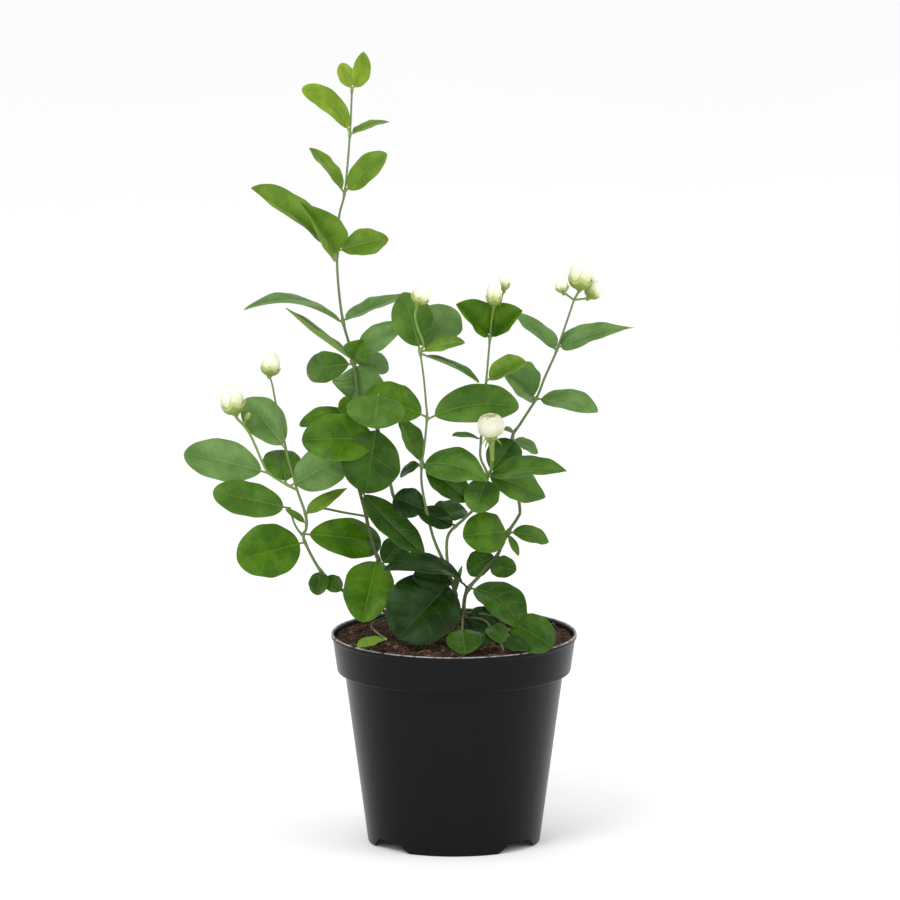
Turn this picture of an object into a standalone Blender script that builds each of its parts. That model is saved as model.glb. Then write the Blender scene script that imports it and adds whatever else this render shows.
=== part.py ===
# Potted jasmine: a black nursery pot with soil and five leafy shoots with white buds and one bloom.
# Points on the plant are written (right, level, back) in millimetres from the middle of the pot's foot.
# The level is the height that a point has when it is looked at from a low angle above the horizon.

import math

import bmesh
import bpy
from mathutils import Matrix, Vector

MM = 0.001
MERGE_DISTANCE = 0.00001
SIGHT_SLOPE = 0.207
SIGHT = Vector((0.0, 0.98, -0.2)).normalized()
PLANT_SHIFT_X = 27.5 * MM

# Pot
POT_SIDES = 48
POT_HEIGHT = 129.0
RIM_RADIUS = 75.0
BAND_HEIGHT = 23.0
BAND_FOOT_RADIUS = 71.3
BODY_TOP_RADIUS = 66.8
BODY_FOOT_RADIUS = 52.5
WALL = 1.5
FLOOR_UNDERSIDE = 7.0
FLOOR_THICKNESS = 1.8
NOTCH_TURNS = (40, 140, 220, 320)
NOTCH_HEIGHT = 6.0
NOTCH_HALF_WIDTH_FOOT = 18.0
NOTCH_HALF_WIDTH_TOP = 8.0
NOTCH_STEPS = 6
DRAIN_RADIUS = 4.0
DRAIN_RING_RADIUS = 33.0
MIDDLE_DRAIN_RADIUS = 2.0

# Soil
SOIL_TOP = 126.8
SOIL_CLEARANCE = 0.35
SOIL_RINGS = 4
SOIL_ROUGHNESS = 1.3
STEM_HOLE_FLOOR = 82.0
STEM_FOOT = 82.4
HOLE_CLEARANCE = 0.45

# Leaves and stems
LEAN_START = 130.0
BLADE_THICKNESS = 0.72
LEAF_STATIONS = (0.12, 0.36, 0.63, 0.87)
SMALL_LEAF = 9.0
NARROW_LEAF = 15.5
SMALL_LEAF_STATIONS = (0.25, 0.68)
PETIOLE_SHARE = 0.09
SHORT_PETIOLE_SHARE = 0.045
STEM_STEP = 16.0
STEM_BEVEL_RESOLUTION = 1
STALK_RADIUS = 0.8
SMALL_STALK_RADIUS = 0.55
STALK_TAPER = 0.85
WAVE_SHARE = 0.035
WAVE_TURNS = 1.6
STEM_SHADE_ANGLE = math.radians(40)

# Buds and the cups that they stand in
BUD_ROWS = 5
BUD_STEPS = ((0.0, 0.88), (0.45, 1.0), (0.94, 1.05))
BUD_TWIST = 0.9
BUD_FULLNESS = 0.56
CALYX_CLEARANCE = 0.4
CALYX_FIT = 1.12
CALYX_WALL = 0.7
CALYX_HEIGHT = 0.17
CALYX_TOOTH = 0.17
CALYX_TEETH = 5
CALYX_FOOT = 3.2
CALYX_STALK_RADIUS = 0.75


def spot(right, level, back, lean=0.0):
    """A point on the plant. A shoot that leans goes further back as it rises from the soil."""
    back = back + lean * max(0.0, level - LEAN_START)
    return Vector((right, back, level - SIGHT_SLOPE * back)) * MM


def link(obj, collection):
    for old in list(obj.users_collection):
        old.objects.unlink(obj)
    collection.objects.link(obj)
    return obj


def settle(obj):
    """Replace an object's mesh by what its modifiers make of it."""
    made = bpy.data.meshes.new_from_object(obj.evaluated_get(bpy.context.evaluated_depsgraph_get()))
    obj.modifiers.clear()
    obj.data = made


def mesh_object(name, points, faces, collection):
    mesh = bpy.data.meshes.new(name)
    mesh.from_pydata([tuple(p) for p in points], [], faces)
    mesh.validate()
    obj = bpy.data.objects.new(name, mesh)
    collection.objects.link(obj)
    return obj


def fix_normals(obj):
    work = bmesh.new()
    work.from_mesh(obj.data)
    bmesh.ops.remove_doubles(work, verts=work.verts, dist=MERGE_DISTANCE)
    bmesh.ops.recalc_face_normals(work, faces=work.faces)
    work.to_mesh(obj.data)
    work.free()


def shade(obj, angle):
    for face in obj.data.polygons:
        face.use_smooth = True
    obj.data.set_sharp_from_angle(angle=angle)


def material(name, colour, roughness):
    mat = bpy.data.materials.new(name)
    mat.use_nodes = True
    shader = mat.node_tree.nodes["Principled BSDF"]
    shader.inputs["Base Color"].default_value = (*colour, 1.0)
    shader.inputs["Roughness"].default_value = roughness
    return mat


def smooth_route(points, step):
    """Points every step or so along a smooth curve through the given points."""
    points = [Vector(p) for p in points]
    ends = [points[0] * 2 - points[1]] + points + [points[-1] * 2 - points[-2]]
    route = []
    for i in range(1, len(ends) - 2):
        a, b, c, d = ends[i - 1 : i + 3]
        count = max(1, round((c - b).length / step))
        for k in range(count):
            t = k / count
            route.append(
                0.5
                * (
                    2 * b
                    + (c - a) * t
                    + (2 * a - 5 * b + 4 * c - d) * t * t
                    + (3 * b - a - 3 * c + d) * t * t * t
                )
            )
    route.append(points[-1])
    return route


def stem_tube(name, route, radii, collection):
    """A tube along the route. The radii run evenly from the first to the last over its length."""
    curve = bpy.data.curves.new(name, "CURVE")
    curve.dimensions = "3D"
    curve.bevel_depth = MM
    curve.bevel_resolution = STEM_BEVEL_RESOLUTION
    curve.use_fill_caps = True
    spline = curve.splines.new("POLY")
    spline.points.add(len(route) - 1)
    lengths = [0.0]
    for a, b in zip(route, route[1:]):
        lengths.append(lengths[-1] + (b - a).length)
    for point, place, length in zip(spline.points, route, lengths):
        share = length / lengths[-1] * (len(radii) - 1)
        low = min(int(share), len(radii) - 2)
        point.co = (*place, 1.0)
        point.radius = radii[low] + (radii[low + 1] - radii[low]) * (share - low)
    guide = bpy.data.objects.new(name + "_curve", curve)
    collection.objects.link(guide)
    made = bpy.data.meshes.new_from_object(guide.evaluated_get(bpy.context.evaluated_depsgraph_get()))
    bpy.data.objects.remove(guide)
    obj = bpy.data.objects.new(name, made)
    collection.objects.link(obj)
    fix_normals(obj)
    return obj


def blade_outline(u, blunt):
    """Half width of a blade as a share of its largest, from its foot at 0 to its tip at 1.

    A blunt blade is rounder at both ends, and one under 0 is broad near its foot with a long tip.
    """
    foot = 0.78 - (0.2 if blunt > 0 else -0.3) * blunt
    tip = 0.82 - (0.3 if blunt > 0 else 0.5) * blunt
    peak = foot / (foot + tip)
    full = peak**foot * (1 - peak) ** tip
    return max(0.0, u) ** foot * max(0.0, 1 - u) ** tip / full


def leaf_frame(base, tip, turn):
    axis = (tip - base).normalized()
    toward = -SIGHT
    facing = (toward - axis * toward.dot(axis)).normalized()
    up = axis.cross(facing)
    if up.z < 0:
        up = -up
    angle = math.radians(turn)
    normal = (up * math.cos(angle) + facing * math.sin(angle)).normalized()
    return axis, normal, axis.cross(normal).normalized()


def leaf_solid(name, base, tip, width, turn, arch, fold, bend, blunt, phase, collection):
    """A thin closed blade on its stalk, folded along the midrib, arched, and waved at the edges."""
    axis, normal, side = leaf_frame(base, tip, turn)
    length = (tip - base).length
    half = width * MM / 2
    stations = LEAF_STATIONS if width > NARROW_LEAF else SMALL_LEAF_STATIONS
    stalk = (STALK_RADIUS if width > SMALL_LEAF else SMALL_STALK_RADIUS) * MM
    thick = BLADE_THICKNESS * MM / 2
    angle = math.radians(fold)
    petiole = PETIOLE_SHARE if blunt >= 0 else SHORT_PETIOLE_SHARE

    def middle(t):
        hump = 4 * t * (1 - t)
        return base + axis * (length * t) + normal * (arch * length * hump) + side * (bend * length * hump)

    def local(t):
        ahead = (middle(min(t + 0.01, 1.0)) - middle(max(t - 0.01, 0.0))).normalized()
        up = (normal - ahead * normal.dot(ahead)).normalized()
        return up, ahead.cross(up)

    points = []
    for t, size in ((0.0, 1.0), (petiole, STALK_TAPER)):
        up, across = local(t)
        for k in range(6):
            around = math.radians(150 - 60 * k)
            points.append(middle(t) + (across * math.cos(around) + up * math.sin(around)) * (stalk * size))
    for u in stations:
        t = petiole + (1 - petiole) * u
        reach = half * blade_outline(u, blunt)
        up, across = local(t)
        wave = WAVE_SHARE * width * MM * min(1.0, 4 * u * (1 - u))
        top = []
        below = []
        for way in (-1, 0, 1):
            lift = wave * math.sin(2 * math.pi * (WAVE_TURNS * u + 0.45 * phase) + way) if way else 0.0
            place = middle(t) + across * (way * reach * math.cos(angle))
            place = place + up * (abs(way) * reach * math.sin(angle) + lift)
            rise = (up * math.cos(angle * abs(way)) - across * (way * math.sin(angle))).normalized()
            top.append(place + rise * thick)
            below.append(place - rise * thick)
        points += top + below[::-1]
    up, across = local(1.0)
    last = len(points)
    points.append(middle(1.0) + up * thick)
    points.append(middle(1.0) - up * thick)
    faces = [(0, 1, 4, 5), (1, 2, 3, 4)]
    rows = len(stations) + 2
    for row in range(rows - 1):
        a = 6 * row
        b = a + 6
        for p, q, mirrored in ((0, 1, False), (5, 4, False), (1, 2, True), (4, 3, True)):
            if mirrored:
                faces += [(a + p, a + q, b + p), (a + q, b + q, b + p)]
            else:
                faces += [(a + p, a + q, b + q), (a + p, b + q, b + p)]
        faces += [(a + 2, a + 3, b + 3, b + 2), (a + 5, a, b, b + 5)]
    a = 6 * (rows - 1)
    faces += [(a, a + 1, last), (a + 1, a + 2, last), (a + 5, last + 1, a + 4), (a + 4, last + 1, a + 3)]
    faces += [(a + 2, a + 3, last + 1, last), (a + 5, a, last, last + 1)]
    blade = mesh_object(name, points, faces, collection)
    fix_normals(blade)
    return blade


def bud_radius(t, radius):
    """Radius along a bud, from its seat at 0 to its rounded point at 1."""
    return radius * max(0.0, math.sin(math.pi * (0.1 + 0.9 * t) ** 0.86)) ** BUD_FULLNESS


def bud_solid(name, base, tip, radius, collection, petals=5, twist=BUD_TWIST):
    """A closed bud of overlapping petals that wind round each other."""
    axis = (tip - base).normalized()
    side = axis.cross(Vector((0.3, 1.0, 0.1))).normalized()
    across = axis.cross(side)
    length = (tip - base).length
    points = []
    faces = []
    rows = BUD_ROWS
    count = petals * len(BUD_STEPS)
    for row in range(rows):
        t = row / rows
        size = bud_radius(t, radius * MM)
        for k in range(petals):
            for place, swell in BUD_STEPS:
                turn = 2 * math.pi * (k + place) / petals + twist * t
                r = size * (1 + (swell - 1) * (0.35 + 0.65 * t))
                points.append(
                    base
                    + axis * (length * t)
                    + side * (r * math.cos(turn))
                    + across * (r * math.sin(turn))
                )
    points.append(tip)
    for row in range(rows - 1):
        for k in range(count):
            a = row * count + k
            b = row * count + (k + 1) % count
            faces.append((a, b, b + count))
            faces.append((a, b + count, a + count))
    for k in range(count):
        a = (rows - 1) * count + k
        b = (rows - 1) * count + (k + 1) % count
        faces.append((a, b, rows * count))
    faces.append(tuple(range(count - 1, -1, -1)))
    obj = mesh_object(name, points, faces, collection)
    fix_normals(obj)
    return obj


def calyx(
    name, base, tip, radius, collection, height=CALYX_HEIGHT, teeth=CALYX_TEETH, tooth=CALYX_TOOTH,
    foot=CALYX_FOOT, stalk=CALYX_STALK_RADIUS,
):
    """A toothed cup round the foot of a bud, clear of it, on a solid foot that narrows to its stalk."""
    axis = (tip - base).normalized()
    side = axis.cross(Vector((0.3, 1.0, 0.1))).normalized()
    across = axis.cross(side)
    length = (tip - base).length
    clear = CALYX_CLEARANCE * MM
    wall = CALYX_WALL * MM
    sides = 2 * teeth

    def fit(t):
        return bud_radius(t, radius * MM) * CALYX_FIT + clear

    seat = bud_radius(0.0, radius * MM)
    under = -clear - 0.8 * MM
    half = height / 2
    high = height + tooth
    rows = [
        ((stalk * MM, -foot * MM), (stalk * MM, -foot * MM)),
        ((seat * 0.8 + wall, under), (seat * 0.8 + wall, under)),
        ((fit(half) + wall, length * half), (fit(half) + wall, length * half)),
        ((fit(height) + wall, length * height), (fit(high) + wall * 1.5, length * high)),
        ((fit(height), length * height), (fit(high) + wall * 0.5, length * high)),
        ((fit(half), length * half), (fit(half), length * half)),
        ((seat + clear, -clear), (seat + clear, -clear)),
    ]
    points = []
    for notch, point in rows:
        for k in range(sides):
            turn = 2 * math.pi * k / sides
            r, z = point if k % 2 else notch
            points.append(base + axis * z + side * (r * math.cos(turn)) + across * (r * math.sin(turn)))
    faces = []
    for row in range(len(rows) - 1):
        for k in range(sides):
            a = row * sides + k
            b = row * sides + (k + 1) % sides
            if k % 2:
                faces += [(a, b, a + sides), (b, b + sides, a + sides)]
            else:
                faces += [(a, b, b + sides), (a, b + sides, a + sides)]
    faces.append(tuple(range(sides - 1, -1, -1)))
    top = (len(rows) - 1) * sides
    faces.append(tuple(range(top, top + sides)))
    obj = mesh_object(name, points, faces, collection)
    fix_normals(obj)
    return obj


def petal_shell(name, seat, axis, turn, profile, span, collection):
    """A petal of a cupped bloom: a thin shell on the given (radius, height) profile over a span of
    degrees, with one edge inside its neighbour's and the other outside."""
    side = axis.cross(Vector((0.3, 1.0, 0.1))).normalized()
    across = axis.cross(side)
    points = []
    for i, (radius, height, share) in enumerate(profile):
        for way in (-1, 0, 1):
            angle = math.radians(turn + way * span / 2 * share)
            out = side * math.cos(angle) + across * math.sin(angle)
            drop = PETAL_CORNER_DROP * abs(way) if i == len(profile) - 1 else 0.0
            reach = radius * (1.0 + PETAL_OVERLAP * way)
            points.append(seat + out * (reach * MM) + axis * ((height - drop) * MM))
    faces = []
    for row in range(len(profile) - 1):
        for a in (3 * row, 3 * row + 1):
            faces += [(a, a + 1, a + 4), (a, a + 4, a + 3)]
    obj = mesh_object(name, points, faces, collection)
    modifier = obj.modifiers.new("thickness", "SOLIDIFY")
    modifier.thickness = PETAL_THICKNESS * MM
    modifier.offset = 0.0
    settle(obj)
    fix_normals(obj)


def fuse(name, objects, collection, mat):
    """One closed solid from the first object and all the others."""
    body = objects[0]
    body.name = name
    body.data.name = name
    group = bpy.data.collections.new(name + "_repeats")
    bpy.context.scene.collection.children.link(group)
    for obj in objects[1:]:
        link(obj, group)
    link(body, collection)
    modifier = body.modifiers.new("join", "BOOLEAN")
    modifier.operation = "UNION"
    modifier.operand_type = "COLLECTION"
    modifier.collection = group
    modifier.solver = "MANIFOLD"
    settle(body)
    body.data.name = name
    for obj in list(group.objects):
        bpy.data.objects.remove(obj)
    bpy.data.collections.remove(group)
    body.data.materials.clear()
    body.data.materials.append(mat)
    shade(body, STEM_SHADE_ANGLE)
    return body


def cut(body, cutter):
    modifier = body.modifiers.new("cut", "BOOLEAN")
    modifier.operation = "DIFFERENCE"
    modifier.object = cutter
    modifier.solver = "EXACT"
    settle(body)


def turned(name, profile, collection, closed):
    """A body turned round the axis from a (radius, height) outline that runs down its outer side."""
    points = [Vector((radius, 0.0, height)) * MM for radius, height in profile]
    edges = [(i, i + 1) for i in range(len(profile) - 1)]
    if closed:
        edges.append((len(profile) - 1, 0))
    mesh = bpy.data.meshes.new(name)
    mesh.from_pydata(points, edges, [])
    obj = bpy.data.objects.new(name, mesh)
    collection.objects.link(obj)
    modifier = obj.modifiers.new("turn", "SCREW")
    modifier.steps = POT_SIDES
    modifier.render_steps = POT_SIDES
    modifier.use_merge_vertices = True
    modifier.merge_threshold = MERGE_DISTANCE
    settle(obj)
    fix_normals(obj)
    return obj


# Shoots: routes from the tip down to the soil, radii in millimetres along the route, side branches,
# and leaves as (foot right, foot level, tip right, tip level, tip back, width, turn, arch, fold,
# bend, bluntness). A leaf's turn is 0 when it is seen edge-on with its face up, and 90 face-on.
LEADER_ROUTE = [
    (-62.3, 469.5, 14), (-63.5, 441.5, 14), (-66.6, 405, 12), (-70.3, 388, 11), (-71.5, 364, 10),
    (-70.3, 342, 9), (-67.5, 322, 8), (-62.0, 301, 7), (-58.7, 274, 6), (-58, 243, 5), (-58, 221, 5),
    (-54.4, 205, 5), (-51.3, 191, 5), (-45.2, 172.5, 5), (-32, 150, 6), (-19, 135, 7),
]
LEADER_RADII = [0.58, 0.62, 0.7, 0.8, 0.9, 1.0, 1.15, 1.4]
LEADER_LEAVES = [
    (-62.3, 468, -55.5, 491.5, 6, 12, 78, 0.02, 12, 0.1, 0.5),
    (-62.3, 468, -68.5, 484.5, 19, 10.5, 78, 0.02, 12, -0.03, 0.8),
    (-63.5, 440, -93, 468, 2, 15, 62, 0.05, 10, 0.13, 1.2),
    (-63.5, 440, -40.5, 448, 34, 13, 22, 0.03, 12, 0, 1.0),
    (-66.6, 403, -88.5, 431.5, 26, 17, 30, 0.03, 18, 0, 0.3),
    (-66.6, 404, -41, 428, -4, 18, 60, 0.05, 10, 0, 0.6),
    (-71.5, 365, -124, 406.5, -5, 28, 36, 0.03, 28, 0, 0.4),
    (-71.5, 365, -95, 399, -22, 29, 55, 0.03, 35, 0, -0.9),
    (-71, 367, -40, 375, 14, 21, 52, 0.04, 10, 0, 0.3),
    (-67.5, 322, -128.5, 330.5, -14, 25, 11, 0.13, 14, 0, -0.2),
    (-67.8, 324, -29, 341, 26, 19, 26, -0.01, 14, 0, -0.4),
    (-60.5, 300, -103, 332, 14, 18, 5, -0.02, 20, 0, -0.3),
    (-59.2, 300, -55, 312, -12, 17, 82, 0.05, 12, 0, -0.3),
    (-59.5, 301, -31, 321, 2, 19, 54, 0.06, 10, 0, 0.3),
    (-60, 296.5, -90, 292.5, 38, 19.5, 80, 0.05, 8, 0, 0.8),
    (-58.5, 298, -63.5, 274.5, 13, 33, 84, 0.03, 6, -0.15, 1.0),
    (-58.5, 298, -40, 295.5, 20, 15, 66, 0.08, 10, 0, 0.9),
    (-58.5, 271, -70.5, 268, -3, 14, 75, 0.1, 8, 0, 0.9),
    (-58, 219, -18, 178, -15, 21, 60, 0.03, 12, 0.05, 0.3),
    (-46.5, 176, -56, 135.5, -30, 31, 84, 0.08, 12, 0, 0.9),
    (-58.3, 262, -94.5, 258.5, 6, 16, 50, 0.14, 14, 0, 0.6),
    (-44, 171, -30, 188, 26, 17, 72, 0.05, 8, 0, 0.8),
]

MIDDLE_ROUTE = [
    (-46, 277.5, -21.5), (-47, 261, -15), (-43.4, 243, -8), (-39.1, 223, -2), (-36, 211.8, 5),
    (-27, 193, 13), (-17, 171, 12), (-11, 150, 4), (-9, 135, 0),
]
MIDDLE_RADII = [0.8, 0.95, 1.1, 1.3, 1.5]
MIDDLE_LEAVES = [
    (-46, 277.5, -49, 256.5, -41, 36, 88, 0.1, 6, 0, 1.0),
    (-46.2, 247.5, -93, 249, -20, 31, 72, 0.08, 8, 0, 0.8),
    (-46.5, 259, -54, 216, -17, 37, 84, 0.05, 8, 0, 0.4),
]

FORK_ROUTE = [
    (-20.8, 305, -10), (-18.5, 288, -9), (-17, 271, -8), (-16.5, 263, -8), (-18.3, 244, -8),
    (-19.6, 235, -8), (-19.6, 220.6, -7), (-14.7, 196, -5), (-11, 184, -4), (-4, 168, -3),
    (0.5, 154, -2), (1.6, 135, -2),
]
FORK_RADII = [0.6, 0.68, 0.78, 0.9, 1.1, 1.5]
FORK_BRANCHES = [
    ([(-20.8, 305, -10), (-18.6, 309, -12), (-22.5, 320, -15), (-23.8, 327, -16),
      (-22.5, 333, -16)], [0.8, 0.7]),
    ([(22, 313, 4), (19.6, 285, 3), (16.5, 249, 2), (16.3, 238, 0), (20.3, 227, -2), (17, 212, -2),
      (6, 200, -2), (-3, 191, -2), (-4.5, 180, -3), (-3, 166, -3)], [0.65, 0.72, 0.85, 1.0]),
    ([(22, 313, 4), (22.8, 322, 0), (24, 331.5, -3)], [0.75, 0.65]),
    ([(22, 313, 4), (26, 326, 5), (30, 341, 4)], [0.75, 0.6]),
    ([(20.3, 227, -2), (22.8, 231, -9), (23.3, 238, -17)], [1.0, 1.1]),
]
FORK_LEAVES = [
    (-20.8, 304.5, -31, 341.5, 0, 26, 80, 0.04, 8, 0, 0.4),
    (-20.8, 304.5, -1, 332, 20, 29, 78, 0.04, 8, 0, 0.6),
    (-20.8, 304, 6.7, 310, -14, 15, 35, 0.06, 10, 0, 0.2),
    (-20.8, 303, 15.3, 285, -28, 15, 16, 0.05, 14, 0, 0.5),
    (-17, 263.5, -54, 278.5, 14, 26, 74, 0.06, 8, 0, 0.6),
    (-19.6, 234, -33.5, 263, 0, 18, 42, 0.03, 12, 0, 0.2),
    (-19.6, 234, -33, 227, 6, 10, 40, 0.05, 10, 0, 0.3),
    (-16.5, 262, 39.7, 269.5, 0, 24.5, 76, 0.06, 10, -0.08, 0.7),
    (-19.6, 234, 20.5, 223.5, -30, 27, 54, 0.08, 8, -0.06, -0.4),
    (-19.6, 233, 9, 211, -16, 21, 62, 0.05, 12, 0, 0.4),
    (-17, 205, -37, 213, -1, 20, 72, 0.05, 8, 0, 0.9),
    (-15.5, 201, 7, 206, 16, 18, 50, 0.05, 10, 0, 0.8),
    (0, 197, -22, 204.5, -6, 15, 60, 0.05, 8, 0, 0.8),
    (22, 228, 37, 248.5, 16, 22, 80, 0.05, 8, 0, 0.6),
    (22, 312.5, 1.3, 334, -8, 25, 55, 0.04, 35, 0.02, 0.1),
    (22, 312.5, 41.8, 330, 2, 25, 55, 0.04, 35, -0.02, 0.1),
    (20.5, 286, 44, 298, 0, 18, 55, 0.05, 35, 0, 0.6),
    (16.5, 250, -1.2, 252, -10, 8, 25, 0.05, 10, 0, 0.3),
    (22, 227, 69, 230, -28, 22, 38, 0.05, 12, 0, -0.3),
    (22, 226.5, 56, 213.5, 4, 24, 58, 0.05, 10, 0, -0.2),
    (20.5, 225.5, 13, 204, -26, 22, 84, 0.08, 6, 0, 0.9),
    (0.5, 161, -34.5, 125, -44, 45, 82, 0.08, 10, 0, 1.0),
    (0.5, 160, -25, 165, -23, 16, 85, 0.08, 8, 0, 1.0),
    (2.4, 153, 4.9, 171, 8, 3.2, 60, 0.03, 10, 0, 0.1),
    (1.6, 153, 0.6, 166, 7, 2.8, 60, 0.03, 10, 0, 0.1),
]

RIGHT_ROUTE = [
    (73.3, 336.6, -8), (69, 323.5, -6), (62.3, 304, -3), (55.6, 288.6, 0), (50.1, 275, 1),
    (40.3, 259, 3), (35.6, 250.5, 4), (36.5, 230, 6), (40.2, 207, 5), (39, 201, 4), (33, 191.5, 2),
    (26.3, 177, -1), (21.4, 171.5, -3), (14.7, 163.5, -6), (8.4, 156, -8), (6.2, 148, -9), (6, 135, -9),
]
RIGHT_RADII = [0.6, 0.7, 0.8, 0.9, 0.95, 1.0, 1.15, 1.6]
RIGHT_BRANCHES = [
    ([(73.3, 336.6, -8), (76, 341.5, -9)], [0.75, 0.75]),
    ([(73.3, 336.6, -8), (67.5, 341, -12.5)], [0.7, 0.65]),
    ([(73.3, 336.6, -8), (80.8, 337.6, -4)], [0.7, 0.65]),
    ([(34.5, 136.5, -36), (22, 140, -26), (6.1, 142, -9)], [0.65, 0.75]),
    ([(5, 131.5, -41), (5.4, 137, -26), (6, 141, -9)], [0.65, 0.75]),
    ([(30, 118.5, -65), (28, 124, -52), (23, 131.5, -38), (18, 137, -26), (6, 139, -9)], [0.6, 0.7, 0.8]),
]
RIGHT_LEAVES = [
    (61.8, 305.5, 32.5, 331, 8, 20, 30, 0.02, 16, 0, -0.8),
    (63, 307, 110, 319.5, -12, 19, 46, 0.03, 12, -0.04, -1.1),
    (50.1, 274.5, 29.3, 292.3, -12, 31, 55, 0.05, 35, 0, 0.5),
    (50.1, 274.5, 88, 266.8, -14, 20, 44, 0.1, 12, 0, 0.4),
    (37.5, 254, 30.8, 255.5, -9, 6, 35, 0.05, 10, 0, 0.3),
    (35.6, 250, 51.3, 241, 8, 11, 42, 0.05, 10, 0, 0.3),
    (33, 192, 5.5, 189, -24, 26, 80, 0.08, 6, 0, 1.0),
    (33, 192, 58, 185.5, 8, 14, 48, 0.06, 12, 0, 0.2),
    (33, 191, 39.5, 177, -6, 5.5, 60, 0.03, 10, 0, 0.2),
    (26.3, 177, 8, 168, 6, 17, 66, 0.05, 8, 0, 0.9),
    (21.4, 171.5, 38, 168, -20, 14, 82, 0.06, 8, 0, 1.0),
    (8.4, 156.5, -43, 168, -36, 20, 34, 0.17, 14, 0, 0.3),
    (8.4, 157, 40.5, 131.5, -44, 25, 60, 0.1, 10, -0.08, 0.5),
    (34.5, 136.5, 60.5, 120.2, -61, 25, 80, 0.05, 8, 0, 1.0),
    (6, 138.5, 27, 127.5, -26, 25, 82, 0.14, 8, 0, 0.9),
    (5, 131.5, 6.8, 115.7, -71, 22, 88, 0.05, 6, 0, 1.0),
    (22, 133, 31, 122.5, -56, 13, 70, 0.12, 14, 0, 0.8),
    (28.5, 124, 45, 118.5, -63, 11, 60, 0.08, 14, 0, 0.5),
    (24.5, 129, 17, 121, -58, 9, 66, 0.05, 12, 0, 0.6),
]

LEFT_ROUTE = [
    (-112.2, 287.5, -4), (-111, 283.6, -4), (-108.8, 272, -4), (-104.5, 253.7, -4), (-102, 240, -5),
    (-99, 229, -6), (-95.5, 217, -6), (-90.5, 202, -6), (-90.5, 193, -5), (-92, 188, -5),
    (-81.3, 167.5, -4), (-66, 154, -3), (-45, 143.5, -1), (-31, 138, 2), (-27, 131, 3),
]
LEFT_RADII = [0.6, 0.72, 0.85, 0.95, 1.1, 1.3]
LEFT_BRANCHES = [
    ([(-133.2, 263.5, -12), (-127, 256.5, -12), (-122.8, 249, -11), (-116, 233, -10), (-112, 227.5, -9),
      (-104, 222.5, -7), (-96, 218, -6)], [0.9, 0.75, 0.8]),
    ([(-128.5, 259, -12), (-126.8, 262.5, -13)], [0.7, 0.6]),
    ([(-92, 189, -5), (-97, 196, -6), (-100.5, 207, -7)], [0.7, 0.65]),
    ([(-37, 141, 0), (-50, 134.5, -14), (-47, 129, -30), (-41.5, 125, -46)], [0.7, 0.6]),
    ([(-90.6, 203, -6), (-84, 207, -1), (-67, 204, 13), (-50, 201, 15), (-44, 199.5, 15)], [0.8, 0.65]),
]
LEFT_LEAVES = [
    (-103.5, 243, -127.5, 275, 12, 25, 76, 0.05, 10, 0, 0.5),
    (-113, 228.5, -165, 241, 2, 27, 74, 0.05, 10, 0, 0.6),
    (-103, 221, -107, 243, 14, 24, 78, 0.05, 8, 0, 0.7),
    (-100, 221, -66, 239, -2, 28, 72, 0.05, 8, 0, 0.9),
    (-100.5, 206.5, -147.3, 216.8, -20, 22.5, 76, 0.03, 10, 0, 1.1),
    (-91, 185.5, -132.5, 174, -22, 34, 82, 0.05, 10, 0, 0.9),
    (-93, 191.5, -44.5, 184.5, 20, 25, 76, 0.08, 10, 0, 0.7),
    (-91, 203, -65, 219.5, 4, 9.5, 62, 0.03, 10, 0, -0.6),
    (-90.5, 197, -103, 206, -10, 5, 60, 0.05, 10, 0, 0.3),
    (-81.3, 168, -83.5, 152.5, -16, 12.5, 82, 0.06, 8, 0, 1.0),
    (-78, 165, -69.5, 155, -14, 11, 82, 0.06, 8, 0, 1.0),
    (-41.5, 125, -59, 120, -57, 10, 34, 0.06, 8, 0, 0.6),
]

# Buds as (node, shoot, seat, tip, radius), each standing in the green cup that its shoot ends in
BUDS = [
    ("bud_left_large", "left", (-133.6, 266.5, -12.5), (-138.2, 286, -13), 7.2),
    ("bud_left_pointed", "left", (-112.6, 290.5, -4), (-110.8, 304.5, -4), 5.7),
    ("bud_centre", "fork", (-22, 335.5, -16), (-16.5, 348, -17), 5.6),
    ("bud_upper_front", "fork", (24.2, 334.5, -3.5), (25, 352, -4), 4.5),
    ("bud_upper_back", "fork", (30.5, 344, 4), (30, 355.5, 4), 3.6),
    ("bud_right_large", "right", (76.8, 344.5, -9.5), (79.5, 365.5, -11), 7.4),
    ("bud_right_small", "right", (66.5, 342.6, -13.5), (64.6, 351.4, -16), 3.9),
    ("bud_right_low", "right", (82.8, 339, -3), (89, 348.5, -1), 4.8),
]
BLOOM_SHOOT = "fork"
BLOOM_SEAT = (22.8, 250, -21)
BLOOM_AXIS = (-0.05, -0.3, 1.0)
BLOOM_CORE_HEIGHT = 15.0
BLOOM_CORE_RADIUS = 4.0
BLOOM_CORE_TWIST = 1.4
BLOOM_CALYX = {"height": 0.1, "teeth": 7, "tooth": 0.08, "foot": 15.0, "stalk": 1.2}
GREEN_BUD = ((-127, 262, -13), (-125, 266.5, -13), 1.9)
PETAL_THICKNESS = 0.7
PETAL_OVERLAP = 0.055
PETAL_CORNER_DROP = 0.9

# Whorls of the bloom as (petals, offset, span in degrees, profile of radius, height and span share)
BLOOM_WHORLS = (
    (5, 0.0, 84, ((2.6, 2.2, 0.8), (6.9, 4.6, 1.0), (8.5, 9.5, 1.0), (8.2, 14.2, 0.55))),
    (4, 0.4, 98, ((2.4, 3.4, 0.9), (5.6, 6.6, 1.0), (6.3, 11.0, 1.0), (5.9, 15.4, 0.5))),
)

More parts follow.
